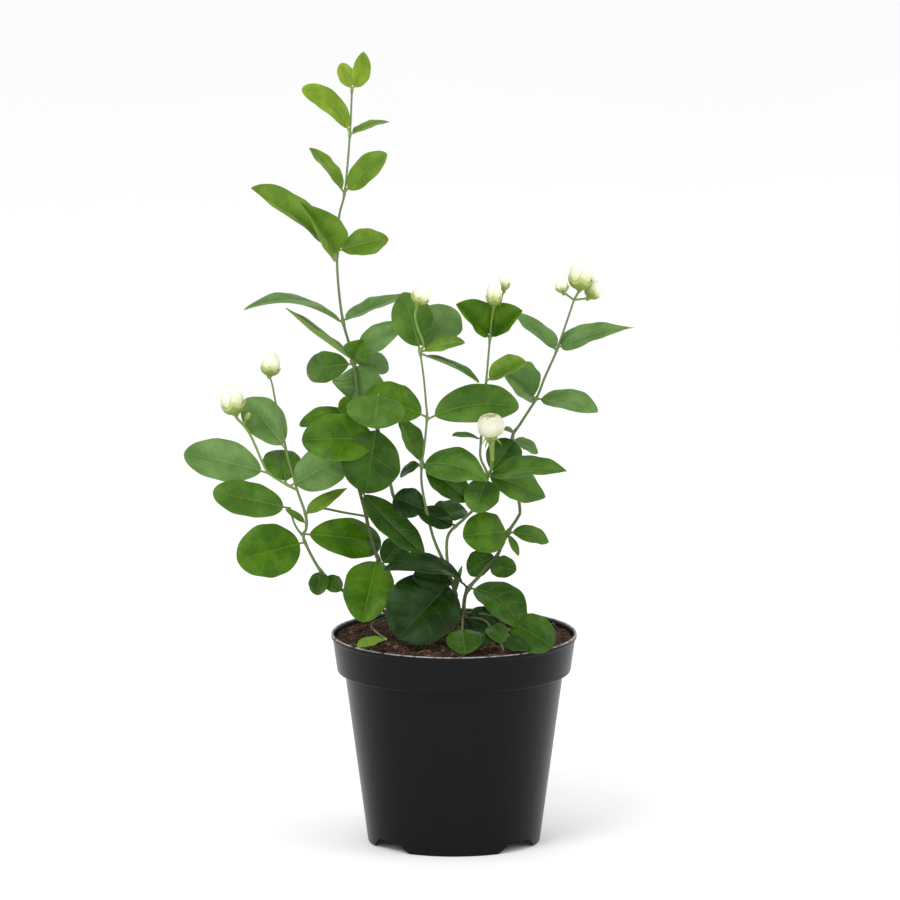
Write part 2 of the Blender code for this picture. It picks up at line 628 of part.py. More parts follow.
SHOOTS = {
    "leader": (LEADER_ROUTE, LEADER_RADII, [], LEADER_LEAVES, 0.07),
    "middle": (MIDDLE_ROUTE, MIDDLE_RADII, [], MIDDLE_LEAVES, -0.03),
    "fork": (FORK_ROUTE, FORK_RADII, FORK_BRANCHES, FORK_LEAVES, -0.1),
    "right": (RIGHT_ROUTE, RIGHT_RADII, RIGHT_BRANCHES, RIGHT_LEAVES, 0.08),
    "left": (LEFT_ROUTE, LEFT_RADII, LEFT_BRANCHES, LEFT_LEAVES, 0.12),
}


def shoot_route(rows, lean):
    """The route of a shoot, carried straight down into its hole in the soil."""
    points = [spot(*row, lean) for row in rows]
    last = points[-1]
    foot = Vector((last.x, last.y, STEM_FOOT * MM))
    above = Vector((last.x, last.y, (SOIL_TOP - 6) * MM))
    return smooth_route(points + [above], STEM_STEP * MM) + [foot]


def make_shoot(name, collection, mat):
    rows, radii, branches, leaves, lean = SHOOTS[name]
    work = bpy.data.collections.new(name + "_pieces")
    bpy.context.scene.collection.children.link(work)
    route = shoot_route(rows, lean)
    pieces = [stem_tube(name + "_stem", route, radii + [radii[-1]], work)]
    routes = [route]
    for i, (points, sizes) in enumerate(branches):
        path = smooth_route([spot(*p, lean) for p in points], STEM_STEP * 0.8 * MM)
        routes.append(path)
        stem_tube(name + "_branch_%d" % i, path, sizes, work)
    for i, row in enumerate(leaves):
        fx, fl, tx, tl, tb, width, turn, arch, fold, bend, blunt = row
        best = None
        for path in routes:
            for k in range(1, len(path)):
                a, b = path[k - 1], path[k]
                flat_a = Vector((a.x, a.z + SIGHT_SLOPE * a.y))
                flat_b = Vector((b.x, b.z + SIGHT_SLOPE * b.y))
                along = flat_b - flat_a
                target = Vector((fx * MM, fl * MM))
                t = 0.0
                if along.length > 0:
                    t = max(0.0, min(1.0, (target - flat_a).dot(along) / along.length_squared))
                gap = (flat_a + along * t - target).length
                if best is None or gap < best[0] - 0.0002:
                    best = (gap, a + (b - a) * t)
        leaf_solid(
            "%s_leaf_%02d" % (name, i), best[1], spot(tx, tl, tb, lean), width, turn, arch, fold, bend,
            blunt, i, work,
        )
    for node, shoot, seat, tip, radius in BUDS:
        if shoot == name:
            calyx(node + "_calyx", spot(*seat, lean), spot(*tip, lean), radius, work)
    if name == BLOOM_SHOOT:
        seat = spot(*BLOOM_SEAT, lean)
        top = seat + Vector(BLOOM_AXIS).normalized() * (BLOOM_CORE_HEIGHT * MM)
        calyx("bloom_calyx", seat, top, BLOOM_CORE_RADIUS, work, **BLOOM_CALYX)
    if name == "left":
        low, high, radius = GREEN_BUD
        bud_solid("left_green_bud", spot(*low, lean), spot(*high, lean), radius, work, 3)
    pieces += [obj for obj in work.objects if obj != pieces[0]]
    body = fuse("shoot_" + name, pieces, collection, mat)
    bpy.data.collections.remove(work)
    return body, route


def make_bloom(collection, mat):
    axis = Vector(BLOOM_AXIS).normalized()
    seat = spot(*BLOOM_SEAT, SHOOTS[BLOOM_SHOOT][4])
    work = bpy.data.collections.new("bloom_pieces")
    bpy.context.scene.collection.children.link(work)
    top = seat + axis * (BLOOM_CORE_HEIGHT * MM)
    core = bud_solid("bloom_core", seat, top, BLOOM_CORE_RADIUS, work, twist=BLOOM_CORE_TWIST)
    for ring, (count, offset, span, profile) in enumerate(BLOOM_WHORLS):
        for k in range(count):
            turn = 360 * (k + offset) / count
            petal_shell("bloom_%d_%d" % (ring, k), seat, axis, turn, profile, span, work)
    pieces = [core] + [obj for obj in work.objects if obj != core]
    body = fuse("bloom", pieces, collection, mat)
    bpy.data.collections.remove(work)
    return body


def pot_radius_inside(z):
    band_foot = POT_HEIGHT - BAND_HEIGHT
    if z >= band_foot + 1.0:
        share = (z - band_foot) / BAND_HEIGHT
        return BAND_FOOT_RADIUS - WALL + (RIM_RADIUS - BAND_FOOT_RADIUS) * share
    return BODY_FOOT_RADIUS - WALL + (BODY_TOP_RADIUS - BODY_FOOT_RADIUS) * z / band_foot


def make_pot(collection, cutters, mat):
    band_foot = POT_HEIGHT - BAND_HEIGHT
    floor_top = FLOOR_UNDERSIDE + FLOOR_THICKNESS
    outer = [
        (RIM_RADIUS - 1.2, POT_HEIGHT),
        (RIM_RADIUS - 0.6, POT_HEIGHT),
        (RIM_RADIUS, POT_HEIGHT - 0.6),
        (RIM_RADIUS, POT_HEIGHT - 2.4),
        (RIM_RADIUS - 1.0, POT_HEIGHT - 3.0),
        (BAND_FOOT_RADIUS, band_foot + 0.4),
        (BAND_FOOT_RADIUS - 0.6, band_foot - 0.4),
        (BODY_TOP_RADIUS, band_foot - 0.4),
        (BODY_FOOT_RADIUS, 0.8),
        (BODY_FOOT_RADIUS - 0.4, 0.0),
    ]
    inner = [
        (BODY_FOOT_RADIUS - 1.9, 0.0),
        (BODY_FOOT_RADIUS - 2.0, 1.0),
        (pot_radius_inside(FLOOR_UNDERSIDE) - 0.2, FLOOR_UNDERSIDE),
        (MIDDLE_DRAIN_RADIUS, FLOOR_UNDERSIDE),
        (MIDDLE_DRAIN_RADIUS, floor_top),
        (pot_radius_inside(floor_top), floor_top),
        (pot_radius_inside(band_foot - 1.0), band_foot - 0.6),
        (pot_radius_inside(band_foot + 2.2), band_foot + 2.2),
        (pot_radius_inside(POT_HEIGHT - 2.0), POT_HEIGHT - 1.2),
    ]
    pot = turned("pot", outer + inner, collection, closed=True)
    outline = [(NOTCH_HALF_WIDTH_FOOT + 3.0, -2.0)]
    for i in range(NOTCH_STEPS + 1):
        t = i / NOTCH_STEPS
        ease = t * t * (3 - 2 * t)
        half = NOTCH_HALF_WIDTH_FOOT + (NOTCH_HALF_WIDTH_TOP - NOTCH_HALF_WIDTH_FOOT) * t
        outline.append((half, NOTCH_HEIGHT * ease))
    outline = [(-a, b) for a, b in reversed(outline)] + outline
    outline = [outline[i] for i in range(len(outline)) if i == 0 or outline[i] != outline[i - 1]]
    near, far = BODY_FOOT_RADIUS - 12.0, BODY_FOOT_RADIUS + 6.0
    for k, degrees in enumerate(NOTCH_TURNS):
        turn = math.radians(degrees)
        out = Vector((math.cos(turn), math.sin(turn), 0.0))
        along = Vector((-math.sin(turn), math.cos(turn), 0.0))
        points = [(out * near + along * a + Vector((0, 0, b))) * MM for a, b in outline]
        points += [(out * far + along * a + Vector((0, 0, b))) * MM for a, b in outline]
        n = len(outline)
        faces = [(i, (i + 1) % n, n + (i + 1) % n, n + i) for i in range(n)]
        faces += [tuple(range(n - 1, -1, -1)), tuple(range(n, 2 * n))]
        cutter = mesh_object("notch_%d" % k, points, faces, cutters)
        fix_normals(cutter)
        cut(pot, cutter)
        bpy.ops.mesh.primitive_cylinder_add(vertices=16, radius=DRAIN_RADIUS * MM, depth=12 * MM)
        drain = link(bpy.context.active_object, cutters)
        drain.name = "drain_%d" % k
        drain.location = out * (DRAIN_RING_RADIUS * MM) + Vector((0, 0, FLOOR_UNDERSIDE * MM))
        bpy.context.view_layer.update()
        cut(pot, drain)
    pot.data.name = "pot"
    pot.data.materials.clear()
    pot.data.materials.append(mat)
    shade(pot, math.radians(28))
    return pot


def soil_height(x, y, edge):
    """Height of the rough top over the flat, in millimetres. The edge share runs from 0 to 1."""
    rough = math.sin(0.31 * x + 1.3 * math.sin(0.17 * y))
    rough += math.sin(0.27 * y + 1.7 * math.sin(0.21 * x + 1.0))
    fine = math.sin(0.83 * x + 0.6 * y) * math.sin(0.71 * y - 0.4 * x)
    return SOIL_ROUGHNESS * (0.55 * rough + 0.5 * fine) * (1 - 0.6 * edge) - 0.8 * edge


def make_soil(routes, radii, collection, cutters, mat):
    bottom = FLOOR_UNDERSIDE + FLOOR_THICKNESS + 0.3
    step = POT_HEIGHT - BAND_HEIGHT
    edge = pot_radius_inside(SOIL_TOP) - SOIL_CLEARANCE - 0.1
    outline = [(edge * ring / SOIL_RINGS, SOIL_TOP) for ring in range(SOIL_RINGS + 1)]
    outline.append((pot_radius_inside(step + 2.2) - SOIL_CLEARANCE - 0.1, step + 2.6))
    outline.append((pot_radius_inside(step - 1.0) - SOIL_CLEARANCE, step - 0.6))
    outline.append((pot_radius_inside(bottom) - SOIL_CLEARANCE, bottom))
    outline.append((0.0, bottom))
    soil = turned("soil", outline, collection, closed=False)
    work = bmesh.new()
    work.from_mesh(soil.data)
    for vert in work.verts:
        x, y, z = vert.co / MM
        if z > SOIL_TOP - 0.1:
            vert.co.z += soil_height(x, y, (math.hypot(x, y) / edge) ** 4) * MM
    bmesh.ops.triangulate(work, faces=work.faces)
    work.to_mesh(soil.data)
    work.free()
    for i, (route, radius) in enumerate(zip(routes, radii)):
        foot = route[-1]
        top_z = (SOIL_TOP + 20) * MM
        depth = top_z - STEM_HOLE_FLOOR * MM
        bpy.ops.mesh.primitive_cylinder_add(vertices=12, radius=(radius + HOLE_CLEARANCE) * MM, depth=depth)
        hole = link(bpy.context.active_object, cutters)
        hole.name = "stem_hole_%d" % i
        hole.location = (foot.x, foot.y, STEM_HOLE_FLOOR * MM + depth / 2)
        bpy.context.view_layer.update()
        cut(soil, hole)
    soil.data.name = "soil"
    soil.data.materials.clear()
    soil.data.materials.append(mat)
    shade(soil, math.radians(50))
    return soil


def main():
    for obj in list(bpy.data.objects):
        bpy.data.objects.remove(obj, do_unlink=True)
    scene = bpy.context.scene
    collection = bpy.data.collections.new("potted_jasmine")
    scene.collection.children.link(collection)
    cutters = bpy.data.collections.new("cutters")
    scene.collection.children.link(cutters)
    plastic = material("black_plastic", (0.02, 0.021, 0.023), 0.42)
    earth = material("coco_soil", (0.045, 0.022, 0.012), 0.95)
    green = {
        "leader": material("leader_green", (0.13, 0.25, 0.045), 0.42),
        "middle": material("middle_green", (0.07, 0.18, 0.03), 0.42),
        "fork": material("fork_green", (0.08, 0.19, 0.04), 0.42),
        "right": material("right_green", (0.09, 0.2, 0.04), 0.42),
        "left": material("left_green", (0.11, 0.23, 0.05), 0.42),
    }
    pot = make_pot(collection, cutters, plastic)
    routes = []
    radii = []
    parts = [pot]
    for name in SHOOTS:
        body, route = make_shoot(name, collection, green[name])
        parts.append(body)
        routes.append(route)
        radii.append(SHOOTS[name][1][-1])
    parts.append(make_soil(routes, radii, collection, cutters, earth))
    for node, shoot, seat, tip, radius in BUDS:
        white = material(node + "_white", (0.86, 0.86, 0.74), 0.5)
        lean = SHOOTS[shoot][4]
        bud = bud_solid(node, spot(*seat, lean), spot(*tip, lean), radius, collection)
        bud.data.materials.append(white)
        shade(bud, math.radians(50))
        parts.append(bud)
    parts.append(make_bloom(collection, material("bloom_white", (0.88, 0.87, 0.78), 0.5)))
    for cutter in cutters.objects:
        cutter.hide_render = True
        cutter.display_type = "WIRE"
        cutter.data.transform(Matrix.Translation((PLANT_SHIFT_X, 0, 0)) @ cutter.matrix_world)
        cutter.matrix_world = Matrix.Identity(4)
    for part in parts:
        part.data.transform(Matrix.Translation((PLANT_SHIFT_X, 0, 0)) @ part.matrix_world)
        part.matrix_world = Matrix.Identity(4)


main()
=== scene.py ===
# Looks of the potted jasmine: its leaves, stems, buds, bloom, soil and pot in full detail.
# Points on the plant are written (right, level, back) in millimetres from the middle of the pot's foot.
# The level is the height that a point has when it is looked at from a low angle above the horizon.

import math
import random

import bmesh
import bpy
from mathutils import Matrix, Vector, noise


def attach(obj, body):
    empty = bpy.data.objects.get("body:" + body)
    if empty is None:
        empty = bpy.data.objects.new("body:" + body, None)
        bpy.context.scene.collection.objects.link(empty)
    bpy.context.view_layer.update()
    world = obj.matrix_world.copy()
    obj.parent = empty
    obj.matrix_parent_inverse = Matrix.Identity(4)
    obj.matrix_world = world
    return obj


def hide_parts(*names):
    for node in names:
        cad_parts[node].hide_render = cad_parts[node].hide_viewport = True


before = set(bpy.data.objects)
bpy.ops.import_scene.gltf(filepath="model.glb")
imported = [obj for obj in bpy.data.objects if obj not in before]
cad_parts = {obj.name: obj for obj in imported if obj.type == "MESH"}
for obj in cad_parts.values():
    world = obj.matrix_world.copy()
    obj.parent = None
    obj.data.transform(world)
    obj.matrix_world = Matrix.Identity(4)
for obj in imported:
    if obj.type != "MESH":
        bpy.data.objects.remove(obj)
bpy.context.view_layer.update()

MM = 0.001
SIGHT_SLOPE = 0.207
SIGHT = Vector((0.0, 0.98, -0.2)).normalized()
PLANT_SHIFT_X = 27.5 * MM

# The photo's frame: its size, its scale, the angle of view, and where the middle of the pot's foot is
IMAGE_SIZE = 900
MM_PER_PIXEL = 0.611
CAMERA_ELEVATION = math.radians(11.7)
POT_AXIS_PIXEL = 454.0
POT_FOOT_PIXEL = 839.5
CAMERA_DISTANCE = 3.0
CAMERA_REACH = 40.0

# Studio: the floor, the world's light, and lamps as (name, place, target, size, power)
FLOOR_SIZE = 14.0
WORLD_LIGHT = 0.97
LAMPS = (
    ("key", (-0.9, -1.5, 1.9), (0.0, 0.0, 0.22), (1.1, 1.1), 24.0),
    ("front", (0.05, -3.6, 0.9), (0.02, 0.0, 0.2), (1.5, 1.7), 22.0),
    ("fill", (1.8, -0.6, 1.3), (0.0, 0.0, 0.25), (1.2, 1.4), 10.0),
)

# Pot
POT_SIDES = 176
POT_HEIGHT = 129.0
RIM_RADIUS = 75.0
BAND_HEIGHT = 23.0
BAND_FOOT = POT_HEIGHT - BAND_HEIGHT
BAND_FOOT_RADIUS = 71.3
BODY_TOP_RADIUS = 66.8
BODY_FOOT_RADIUS = 52.5
WALL = 1.5
FLOOR_UNDERSIDE = 7.0
FLOOR_TOP = FLOOR_UNDERSIDE + 1.8
NOTCH_TURNS = (40, 140, 220, 320)
NOTCH_HEIGHT = 6.0
NOTCH_HALF_WIDTH_FOOT = 18.0
NOTCH_HALF_WIDTH_TOP = 8.0
NOTCH_STEPS = 14
NOTCH_REACH = (-12.0, 6.0)
DRAIN_RADIUS = 4.0
DRAIN_SIDES = 40
DRAIN_CUT = 12.0
DRAIN_RING_RADIUS = 33.0
MIDDLE_DRAIN_RADIUS = 2.0
POT_CREASE = 32

# Soil, with loose crumbs and fibres on it
SOIL_TOP = 126.8
SOIL_CLEARANCE = 0.35
SOIL_ROUGHNESS = 1.3
SOIL_RINGS = 54
SOIL_SIDES = 220
STEM_STRAIGHT_FROM = SOIL_TOP - 6.0
STEM_FOOT = 82.4
CRUMBS = 900
CRUMB_SEED = 11
CRUMB_SIZE = 0.45
CRUMB_SPREAD = 1.5
CRUMB_SHAPE = ((0.8, 1.7), (0.7, 1.1), (0.5, 0.9))
CRUMB_DENT = 0.35
CRUMB_LIFT = 0.25
CRUMB_CREASE = 40
CRUMB_MARGIN = 2.5
CHIP_SHARE = 0.12
FIBRES = 300
FIBRE_SEED = 5
FIBRE_LENGTHS = (3.0, 11.0)
FIBRE_RADII = (0.09, 0.2)
FIBRE_STEPS = 6
FIBRE_SIDES = 5
FIBRE_MARGIN = 1.5
COIR_SHARE = 0.7

# Leaves and stems, with meshes as (rows, cells across each half), and stalks as (place, size) shares
LEAN_START = 130.0
SMALL_LEAF = 9.0
SMALL_LEAF_MESH = (12, 4)
LEAF_MESH = (26, 7)
PETIOLE_SHARE = 0.09
SHORT_PETIOLE_SHARE = 0.045
STALK_RADIUS = 0.8
SMALL_STALK_RADIUS = 0.55
STALK_ARC = 164
STALK_PROFILE = ((0.0, 1.2), (0.14, 1.12), (0.35, 0.86), (0.65, 0.8), (0.95, 0.82))
LOPSIDED = 0.05
EDGE_RIPPLE = 0.018
RIPPLE_TURNS = 3.1
WAVE_SHARE = 0.035
WAVE_TURNS = 1.6
FINE_WAVE_SHARE = 0.012
FINE_WAVE_TURNS = 3.7
DENT_SHARE = 0.03
STEM_STEP = 2.2
STEM_SIDES = 12
SHOOT_CREASE = 50
TAN_SHOOT = "right"
FLOWER_STALK_GAP = 16.0
KNOT_SWELL = 0.32
KNOT_REACH = 1.7
BLADE_THICKNESS = 0.42
EDGE_THICKNESS = 0.24
VEIN_PAIRS = 5.0
VEIN_SWEEP = 0.2
VEIN_CURVE = 1.3
VEIN_OFFSET = 0.3
QUILT = 0.021
CROWN = 0.09
MIDRIB_DEPTH = 0.35
MIDRIB_REACH = 0.6
MIDRIB_KEEL = 0.45
KEEL_REACH = 0.55

# Buds, and cups as (height and tooth as shares of the bud, teeth, length of foot, radius of stalk)
BUD_PETALS = 5
BUD_TWIST = 0.9
BUD_FULLNESS = 0.56
BUD_ROWS = 34
BUD_PLACES = 14
BUD_LAP = 0.985
BUD_SIDE = Vector((0.3, 1.0, 0.1))
BUD_CREASE = 55
CALYX_CLEARANCE = 0.2
CALYX_FIT = 1.03
CALYX_WALL = 0.55
CALYX_FLARE = 0.15
CALYX_RIB = 0.12
WAIST_SHARE = 0.85
TOOTH_CELLS = 12
CALYX = (0.17, 0.17, 5, 3.2, 0.75)
BLOOM_CALYX = (0.1, 0.08, 7, 15.0, 1.2)

# Leaf tones, each with its darkest and lightest green and how pale its veins are. Two tones are painted
# light: a painted shade and a painted sheen.
NEW, FRESH, SUN, MID, DEEP, PAINTED_SHADE, PAINTED_SHEEN_GREY = "new", "fresh", "sun", "mid", "deep", "shade", "grey"
TONES = {
    NEW: ((92, 120, 24), (122, 146, 42), 0.4),
    FRESH: ((76, 106, 22), (99, 130, 40), 0.36),
    SUN: ((44, 79, 1), (69, 105, 7), 0.3),
    MID: ((50, 84, 18), (74, 108, 32), 0.32),
    DEEP: ((29, 58, 5), (49, 82, 13), 0.25),
    # Painted shade: a near-black green for the leaves deep inside the plant, where shade falls on them
    PAINTED_SHADE: ((12, 34, 3), (27, 54, 11), 0.12),
    # Painted sheen: a paler, bluish green for leaves whose upper faces catch the light
    PAINTED_SHEEN_GREY: ((72, 104, 48), (96, 126, 68), 0.36),
}
VEIN_TONE = (168, 188, 112)
UNDERSIDE_TONE = (130, 152, 98)

# Shoots: routes from the tip down to the soil, radii in millimetres along the route, side branches,
# and leaves as (foot right, foot level, tip right, tip level, tip back, width, turn, arch, fold,
# bend, bluntness, tone). A leaf's turn is 0 when it is seen edge-on with its face up, and 90 face-on.
LEADER_ROUTE = [
    (-62.3, 469.5, 14), (-63.5, 441.5, 14), (-66.6, 405, 12), (-70.3, 388, 11), (-71.5, 364, 10),
    (-70.3, 342, 9), (-67.5, 322, 8), (-62.0, 301, 7), (-58.7, 274, 6), (-58, 243, 5), (-58, 221, 5),
    (-54.4, 205, 5), (-51.3, 191, 5), (-45.2, 172.5, 5), (-32, 150, 6), (-19, 135, 7),
]
LEADER_RADII = [0.58, 0.62, 0.7, 0.8, 0.9, 1.0, 1.15, 1.4]
LEADER_LEAVES = [
    (-62.3, 468, -55.5, 491.5, 6, 12, 78, 0.02, 12, 0.1, 0.5, NEW),
    (-62.3, 468, -68.5, 484.5, 19, 10.5, 78, 0.02, 12, -0.03, 0.8, NEW),
    (-63.5, 440, -93, 468, 2, 15, 62, 0.05, 10, 0.13, 1.2, NEW),
    (-63.5, 440, -40.5, 448, 34, 13, 22, 0.03, 12, 0, 1.0, FRESH),
    (-66.6, 403, -88.5, 431.5, 26, 17, 30, 0.03, 18, 0, 0.3, FRESH),
    (-66.6, 404, -41, 428, -4, 18, 60, 0.05, 10, 0, 0.6, FRESH),
    (-71.5, 365, -124, 406.5, -5, 28, 36, 0.03, 28, 0, 0.4, FRESH),
    (-71.5, 365, -95, 399, -22, 29, 55, 0.03, 35, 0, -0.9, FRESH),
    (-71, 367, -40, 375, 14, 21, 52, 0.04, 10, 0, 0.3, FRESH),
    (-67.5, 322, -128.5, 330.5, -14, 25, 11, 0.13, 14, 0, -0.2, PAINTED_SHEEN_GREY),
    (-67.8, 324, -29, 341, 26, 19, 26, -0.01, 14, 0, -0.4, PAINTED_SHEEN_GREY),
    (-60.5, 300, -103, 332, 14, 18, 5, -0.02, 20, 0, -0.3, FRESH),
    (-59.2, 300, -55, 312, -12, 17, 82, 0.05, 12, 0, -0.3, SUN),
    (-59.5, 301, -31, 321, 2, 19, 54, 0.06, 10, 0, 0.3, PAINTED_SHEEN_GREY),
    (-60, 296.5, -90, 292.5, 38, 19.5, 80, 0.05, 8, 0, 0.8, MID),
    (-58.5, 298, -63.5, 274.5, 13, 33, 84, 0.03, 6, -0.15, 1.0, PAINTED_SHEEN_GREY),
    (-58.5, 298, -40, 295.5, 20, 15, 66, 0.08, 10, 0, 0.9, PAINTED_SHEEN_GREY),
    (-58.5, 271, -70.5, 268, -3, 14, 75, 0.1, 8, 0, 0.9, SUN),
    (-58, 219, -18, 178, -15, 21, 60, 0.03, 12, 0.05, 0.3, DEEP),
    (-46.5, 176, -56, 135.5, -30, 31, 84, 0.08, 12, 0, 0.9, SUN),
    (-58.3, 262, -94.5, 258.5, 6, 16, 50, 0.14, 14, 0, 0.6, SUN),
    (-44, 171, -30, 188, 26, 17, 72, 0.05, 8, 0, 0.8, DEEP),
]

MIDDLE_ROUTE = [
    (-46, 277.5, -21.5), (-47, 261, -15), (-43.4, 243, -8), (-39.1, 223, -2), (-36, 211.8, 5),
    (-27, 193, 13), (-17, 171, 12), (-11, 150, 4), (-9, 135, 0),
]
MIDDLE_RADII = [0.8, 0.95, 1.1, 1.3, 1.5]
MIDDLE_LEAVES = [
    (-46, 277.5, -49, 256.5, -41, 36, 88, 0.1, 6, 0, 1.0, MID),
    (-46.2, 247.5, -93, 249, -20, 31, 72, 0.08, 8, 0, 0.8, SUN),
    (-46.5, 259, -54, 216, -17, 37, 84, 0.05, 8, 0, 0.4, DEEP),
]

FORK_ROUTE = [
    (-20.8, 305, -10), (-18.5, 288, -9), (-17, 271, -8), (-16.5, 263, -8), (-18.3, 244, -8),
    (-19.6, 235, -8), (-19.6, 220.6, -7), (-14.7, 196, -5), (-11, 184, -4), (-4, 168, -3),
    (0.5, 154, -2), (1.6, 135, -2),
]
FORK_RADII = [0.6, 0.68, 0.78, 0.9, 1.1, 1.5]
FORK_BRANCHES = [
    ([(-20.8, 305, -10), (-18.6, 309, -12), (-22.5, 320, -15), (-23.8, 327, -16),
      (-22.5, 333, -16)], [0.8, 0.7]),
    ([(22, 313, 4), (19.6, 285, 3), (16.5, 249, 2), (16.3, 238, 0), (20.3, 227, -2), (17, 212, -2),
      (6, 200, -2), (-3, 191, -2), (-4.5, 180, -3), (-3, 166, -3)], [0.65, 0.72, 0.85, 1.0]),
    ([(22, 313, 4), (22.8, 322, 0), (24, 331.5, -3)], [0.75, 0.65]),
    ([(22, 313, 4), (26, 326, 5), (30, 341, 4)], [0.75, 0.6]),
    ([(20.3, 227, -2), (22.8, 231, -9), (23.3, 238, -17)], [1.0, 1.1]),
]
FORK_LEAVES = [
    (-20.8, 304.5, -31, 341.5, 0, 26, 80, 0.04, 8, 0, 0.4, MID),
    (-20.8, 304.5, -1, 332, 20, 29, 78, 0.04, 8, 0, 0.6, PAINTED_SHEEN_GREY),
    (-20.8, 304, 6.7, 310, -14, 15, 35, 0.06, 10, 0, 0.2, FRESH),
    (-20.8, 303, 15.3, 285, -28, 15, 16, 0.05, 14, 0, 0.5, MID),
    (-17, 263.5, -54, 278.5, 14, 26, 74, 0.06, 8, 0, 0.6, SUN),
    (-19.6, 234, -33.5, 263, 0, 18, 42, 0.03, 12, 0, 0.2, MID),
    (-19.6, 234, -33, 227, 6, 10, 40, 0.05, 10, 0, 0.3, DEEP),
    (-16.5, 262, 39.7, 269.5, 0, 24.5, 76, 0.06, 10, -0.08, 0.7, MID),
    (-19.6, 234, 20.5, 223.5, -30, 27, 54, 0.08, 8, -0.06, -0.4, MID),
    (-19.6, 233, 9, 211, -16, 21, 62, 0.05, 12, 0, 0.4, DEEP),
    (-17, 205, -37, 213, -1, 20, 72, 0.05, 8, 0, 0.9, PAINTED_SHADE),
    (-15.5, 201, 7, 206, 16, 18, 50, 0.05, 10, 0, 0.8, DEEP),
    (0, 197, -22, 204.5, -6, 15, 60, 0.05, 8, 0, 0.8, PAINTED_SHADE),
    (22, 228, 37, 248.5, 16, 22, 80, 0.05, 8, 0, 0.6, DEEP),
    (22, 312.5, 1.3, 334, -8, 25, 55, 0.04, 35, 0.02, 0.1, SUN),
    (22, 312.5, 41.8, 330, 2, 25, 55, 0.04, 35, -0.02, 0.1, SUN),
    (20.5, 286, 44, 298, 0, 18, 55, 0.05, 35, 0, 0.6, FRESH),
    (16.5, 250, -1.2, 252, -10, 8, 25, 0.05, 10, 0, 0.3, MID),
    (22, 227, 69, 230, -28, 22, 38, 0.05, 12, 0, -0.3, MID),
    (22, 226.5, 56, 213.5, 4, 24, 58, 0.05, 10, 0, -0.2, MID),
    (20.5, 225.5, 13, 204, -26, 22, 84, 0.08, 6, 0, 0.9, MID),
    (0.5, 161, -34.5, 125, -44, 45, 82, 0.08, 10, 0, 1.0, PAINTED_SHADE),
    (0.5, 160, -25, 165, -23, 16, 85, 0.08, 8, 0, 1.0, PAINTED_SHADE),
    (2.4, 153, 4.9, 171, 8, 3.2, 60, 0.03, 10, 0, 0.1, MID),
    (1.6, 153, 0.6, 166, 7, 2.8, 60, 0.03, 10, 0, 0.1, MID),
]

RIGHT_ROUTE = [
    (73.3, 336.6, -8), (69, 323.5, -6), (62.3, 304, -3), (55.6, 288.6, 0), (50.1, 275, 1),
    (40.3, 259, 3), (35.6, 250.5, 4), (36.5, 230, 6), (40.2, 207, 5), (39, 201, 4), (33, 191.5, 2),
    (26.3, 177, -1), (21.4, 171.5, -3), (14.7, 163.5, -6), (8.4, 156, -8), (6.2, 148, -9), (6, 135, -9),
]
RIGHT_RADII = [0.6, 0.7, 0.8, 0.9, 0.95, 1.0, 1.15, 1.6]
RIGHT_BRANCHES = [
    ([(73.3, 336.6, -8), (76, 341.5, -9)], [0.75, 0.75]),
    ([(73.3, 336.6, -8), (67.5, 341, -12.5)], [0.7, 0.65]),
    ([(73.3, 336.6, -8), (80.8, 337.6, -4)], [0.7, 0.65]),
    ([(34.5, 136.5, -36), (22, 140, -26), (6.1, 142, -9)], [0.65, 0.75]),
    ([(5, 131.5, -41), (5.4, 137, -26), (6, 141, -9)], [0.65, 0.75]),
    ([(30, 118.5, -65), (28, 124, -52), (23, 131.5, -38), (18, 137, -26), (6, 139, -9)], [0.6, 0.7, 0.8]),
]
RIGHT_LEAVES = [
    (61.8, 305.5, 32.5, 331, 8, 20, 30, 0.02, 16, 0, -0.8, PAINTED_SHEEN_GREY),
    (63, 307, 110, 319.5, -12, 19, 46, 0.03, 12, -0.04, -1.1, PAINTED_SHEEN_GREY),
    (50.1, 274.5, 29.3, 292.3, -12, 31, 55, 0.05, 35, 0, 0.5, PAINTED_SHEEN_GREY),
    (50.1, 274.5, 88, 266.8, -14, 20, 44, 0.1, 12, 0, 0.4, PAINTED_SHEEN_GREY),
    (37.5, 254, 30.8, 255.5, -9, 6, 35, 0.05, 10, 0, 0.3, PAINTED_SHEEN_GREY),
    (35.6, 250, 51.3, 241, 8, 11, 42, 0.05, 10, 0, 0.3, PAINTED_SHEEN_GREY),
    (33, 192, 5.5, 189, -24, 26, 80, 0.08, 6, 0, 1.0, SUN),
    (33, 192, 58, 185.5, 8, 14, 48, 0.06, 12, 0, 0.2, MID),
    (33, 191, 39.5, 177, -6, 5.5, 60, 0.03, 10, 0, 0.2, MID),
    (26.3, 177, 8, 168, 6, 17, 66, 0.05, 8, 0, 0.9, DEEP),
    (21.4, 171.5, 38, 168, -20, 14, 82, 0.06, 8, 0, 1.0, DEEP),
    (8.4, 156.5, -43, 168, -36, 20, 34, 0.17, 14, 0, 0.3, PAINTED_SHADE),
    (8.4, 157, 40.5, 131.5, -44, 25, 60, 0.1, 10, -0.08, 0.5, DEEP),
    (34.5, 136.5, 60.5, 120.2, -61, 25, 80, 0.05, 8, 0, 1.0, DEEP),
    (6, 138.5, 27, 127.5, -26, 25, 82, 0.14, 8, 0, 0.9, PAINTED_SHADE),
    (5, 131.5, 6.8, 115.7, -71, 22, 88, 0.05, 6, 0, 1.0, DEEP),
    (22, 133, 31, 122.5, -56, 13, 70, 0.12, 14, 0, 0.8, DEEP),
    (28.5, 124, 45, 118.5, -63, 11, 60, 0.08, 14, 0, 0.5, PAINTED_SHADE),
    (24.5, 129, 17, 121, -58, 9, 66, 0.05, 12, 0, 0.6, PAINTED_SHADE),
]

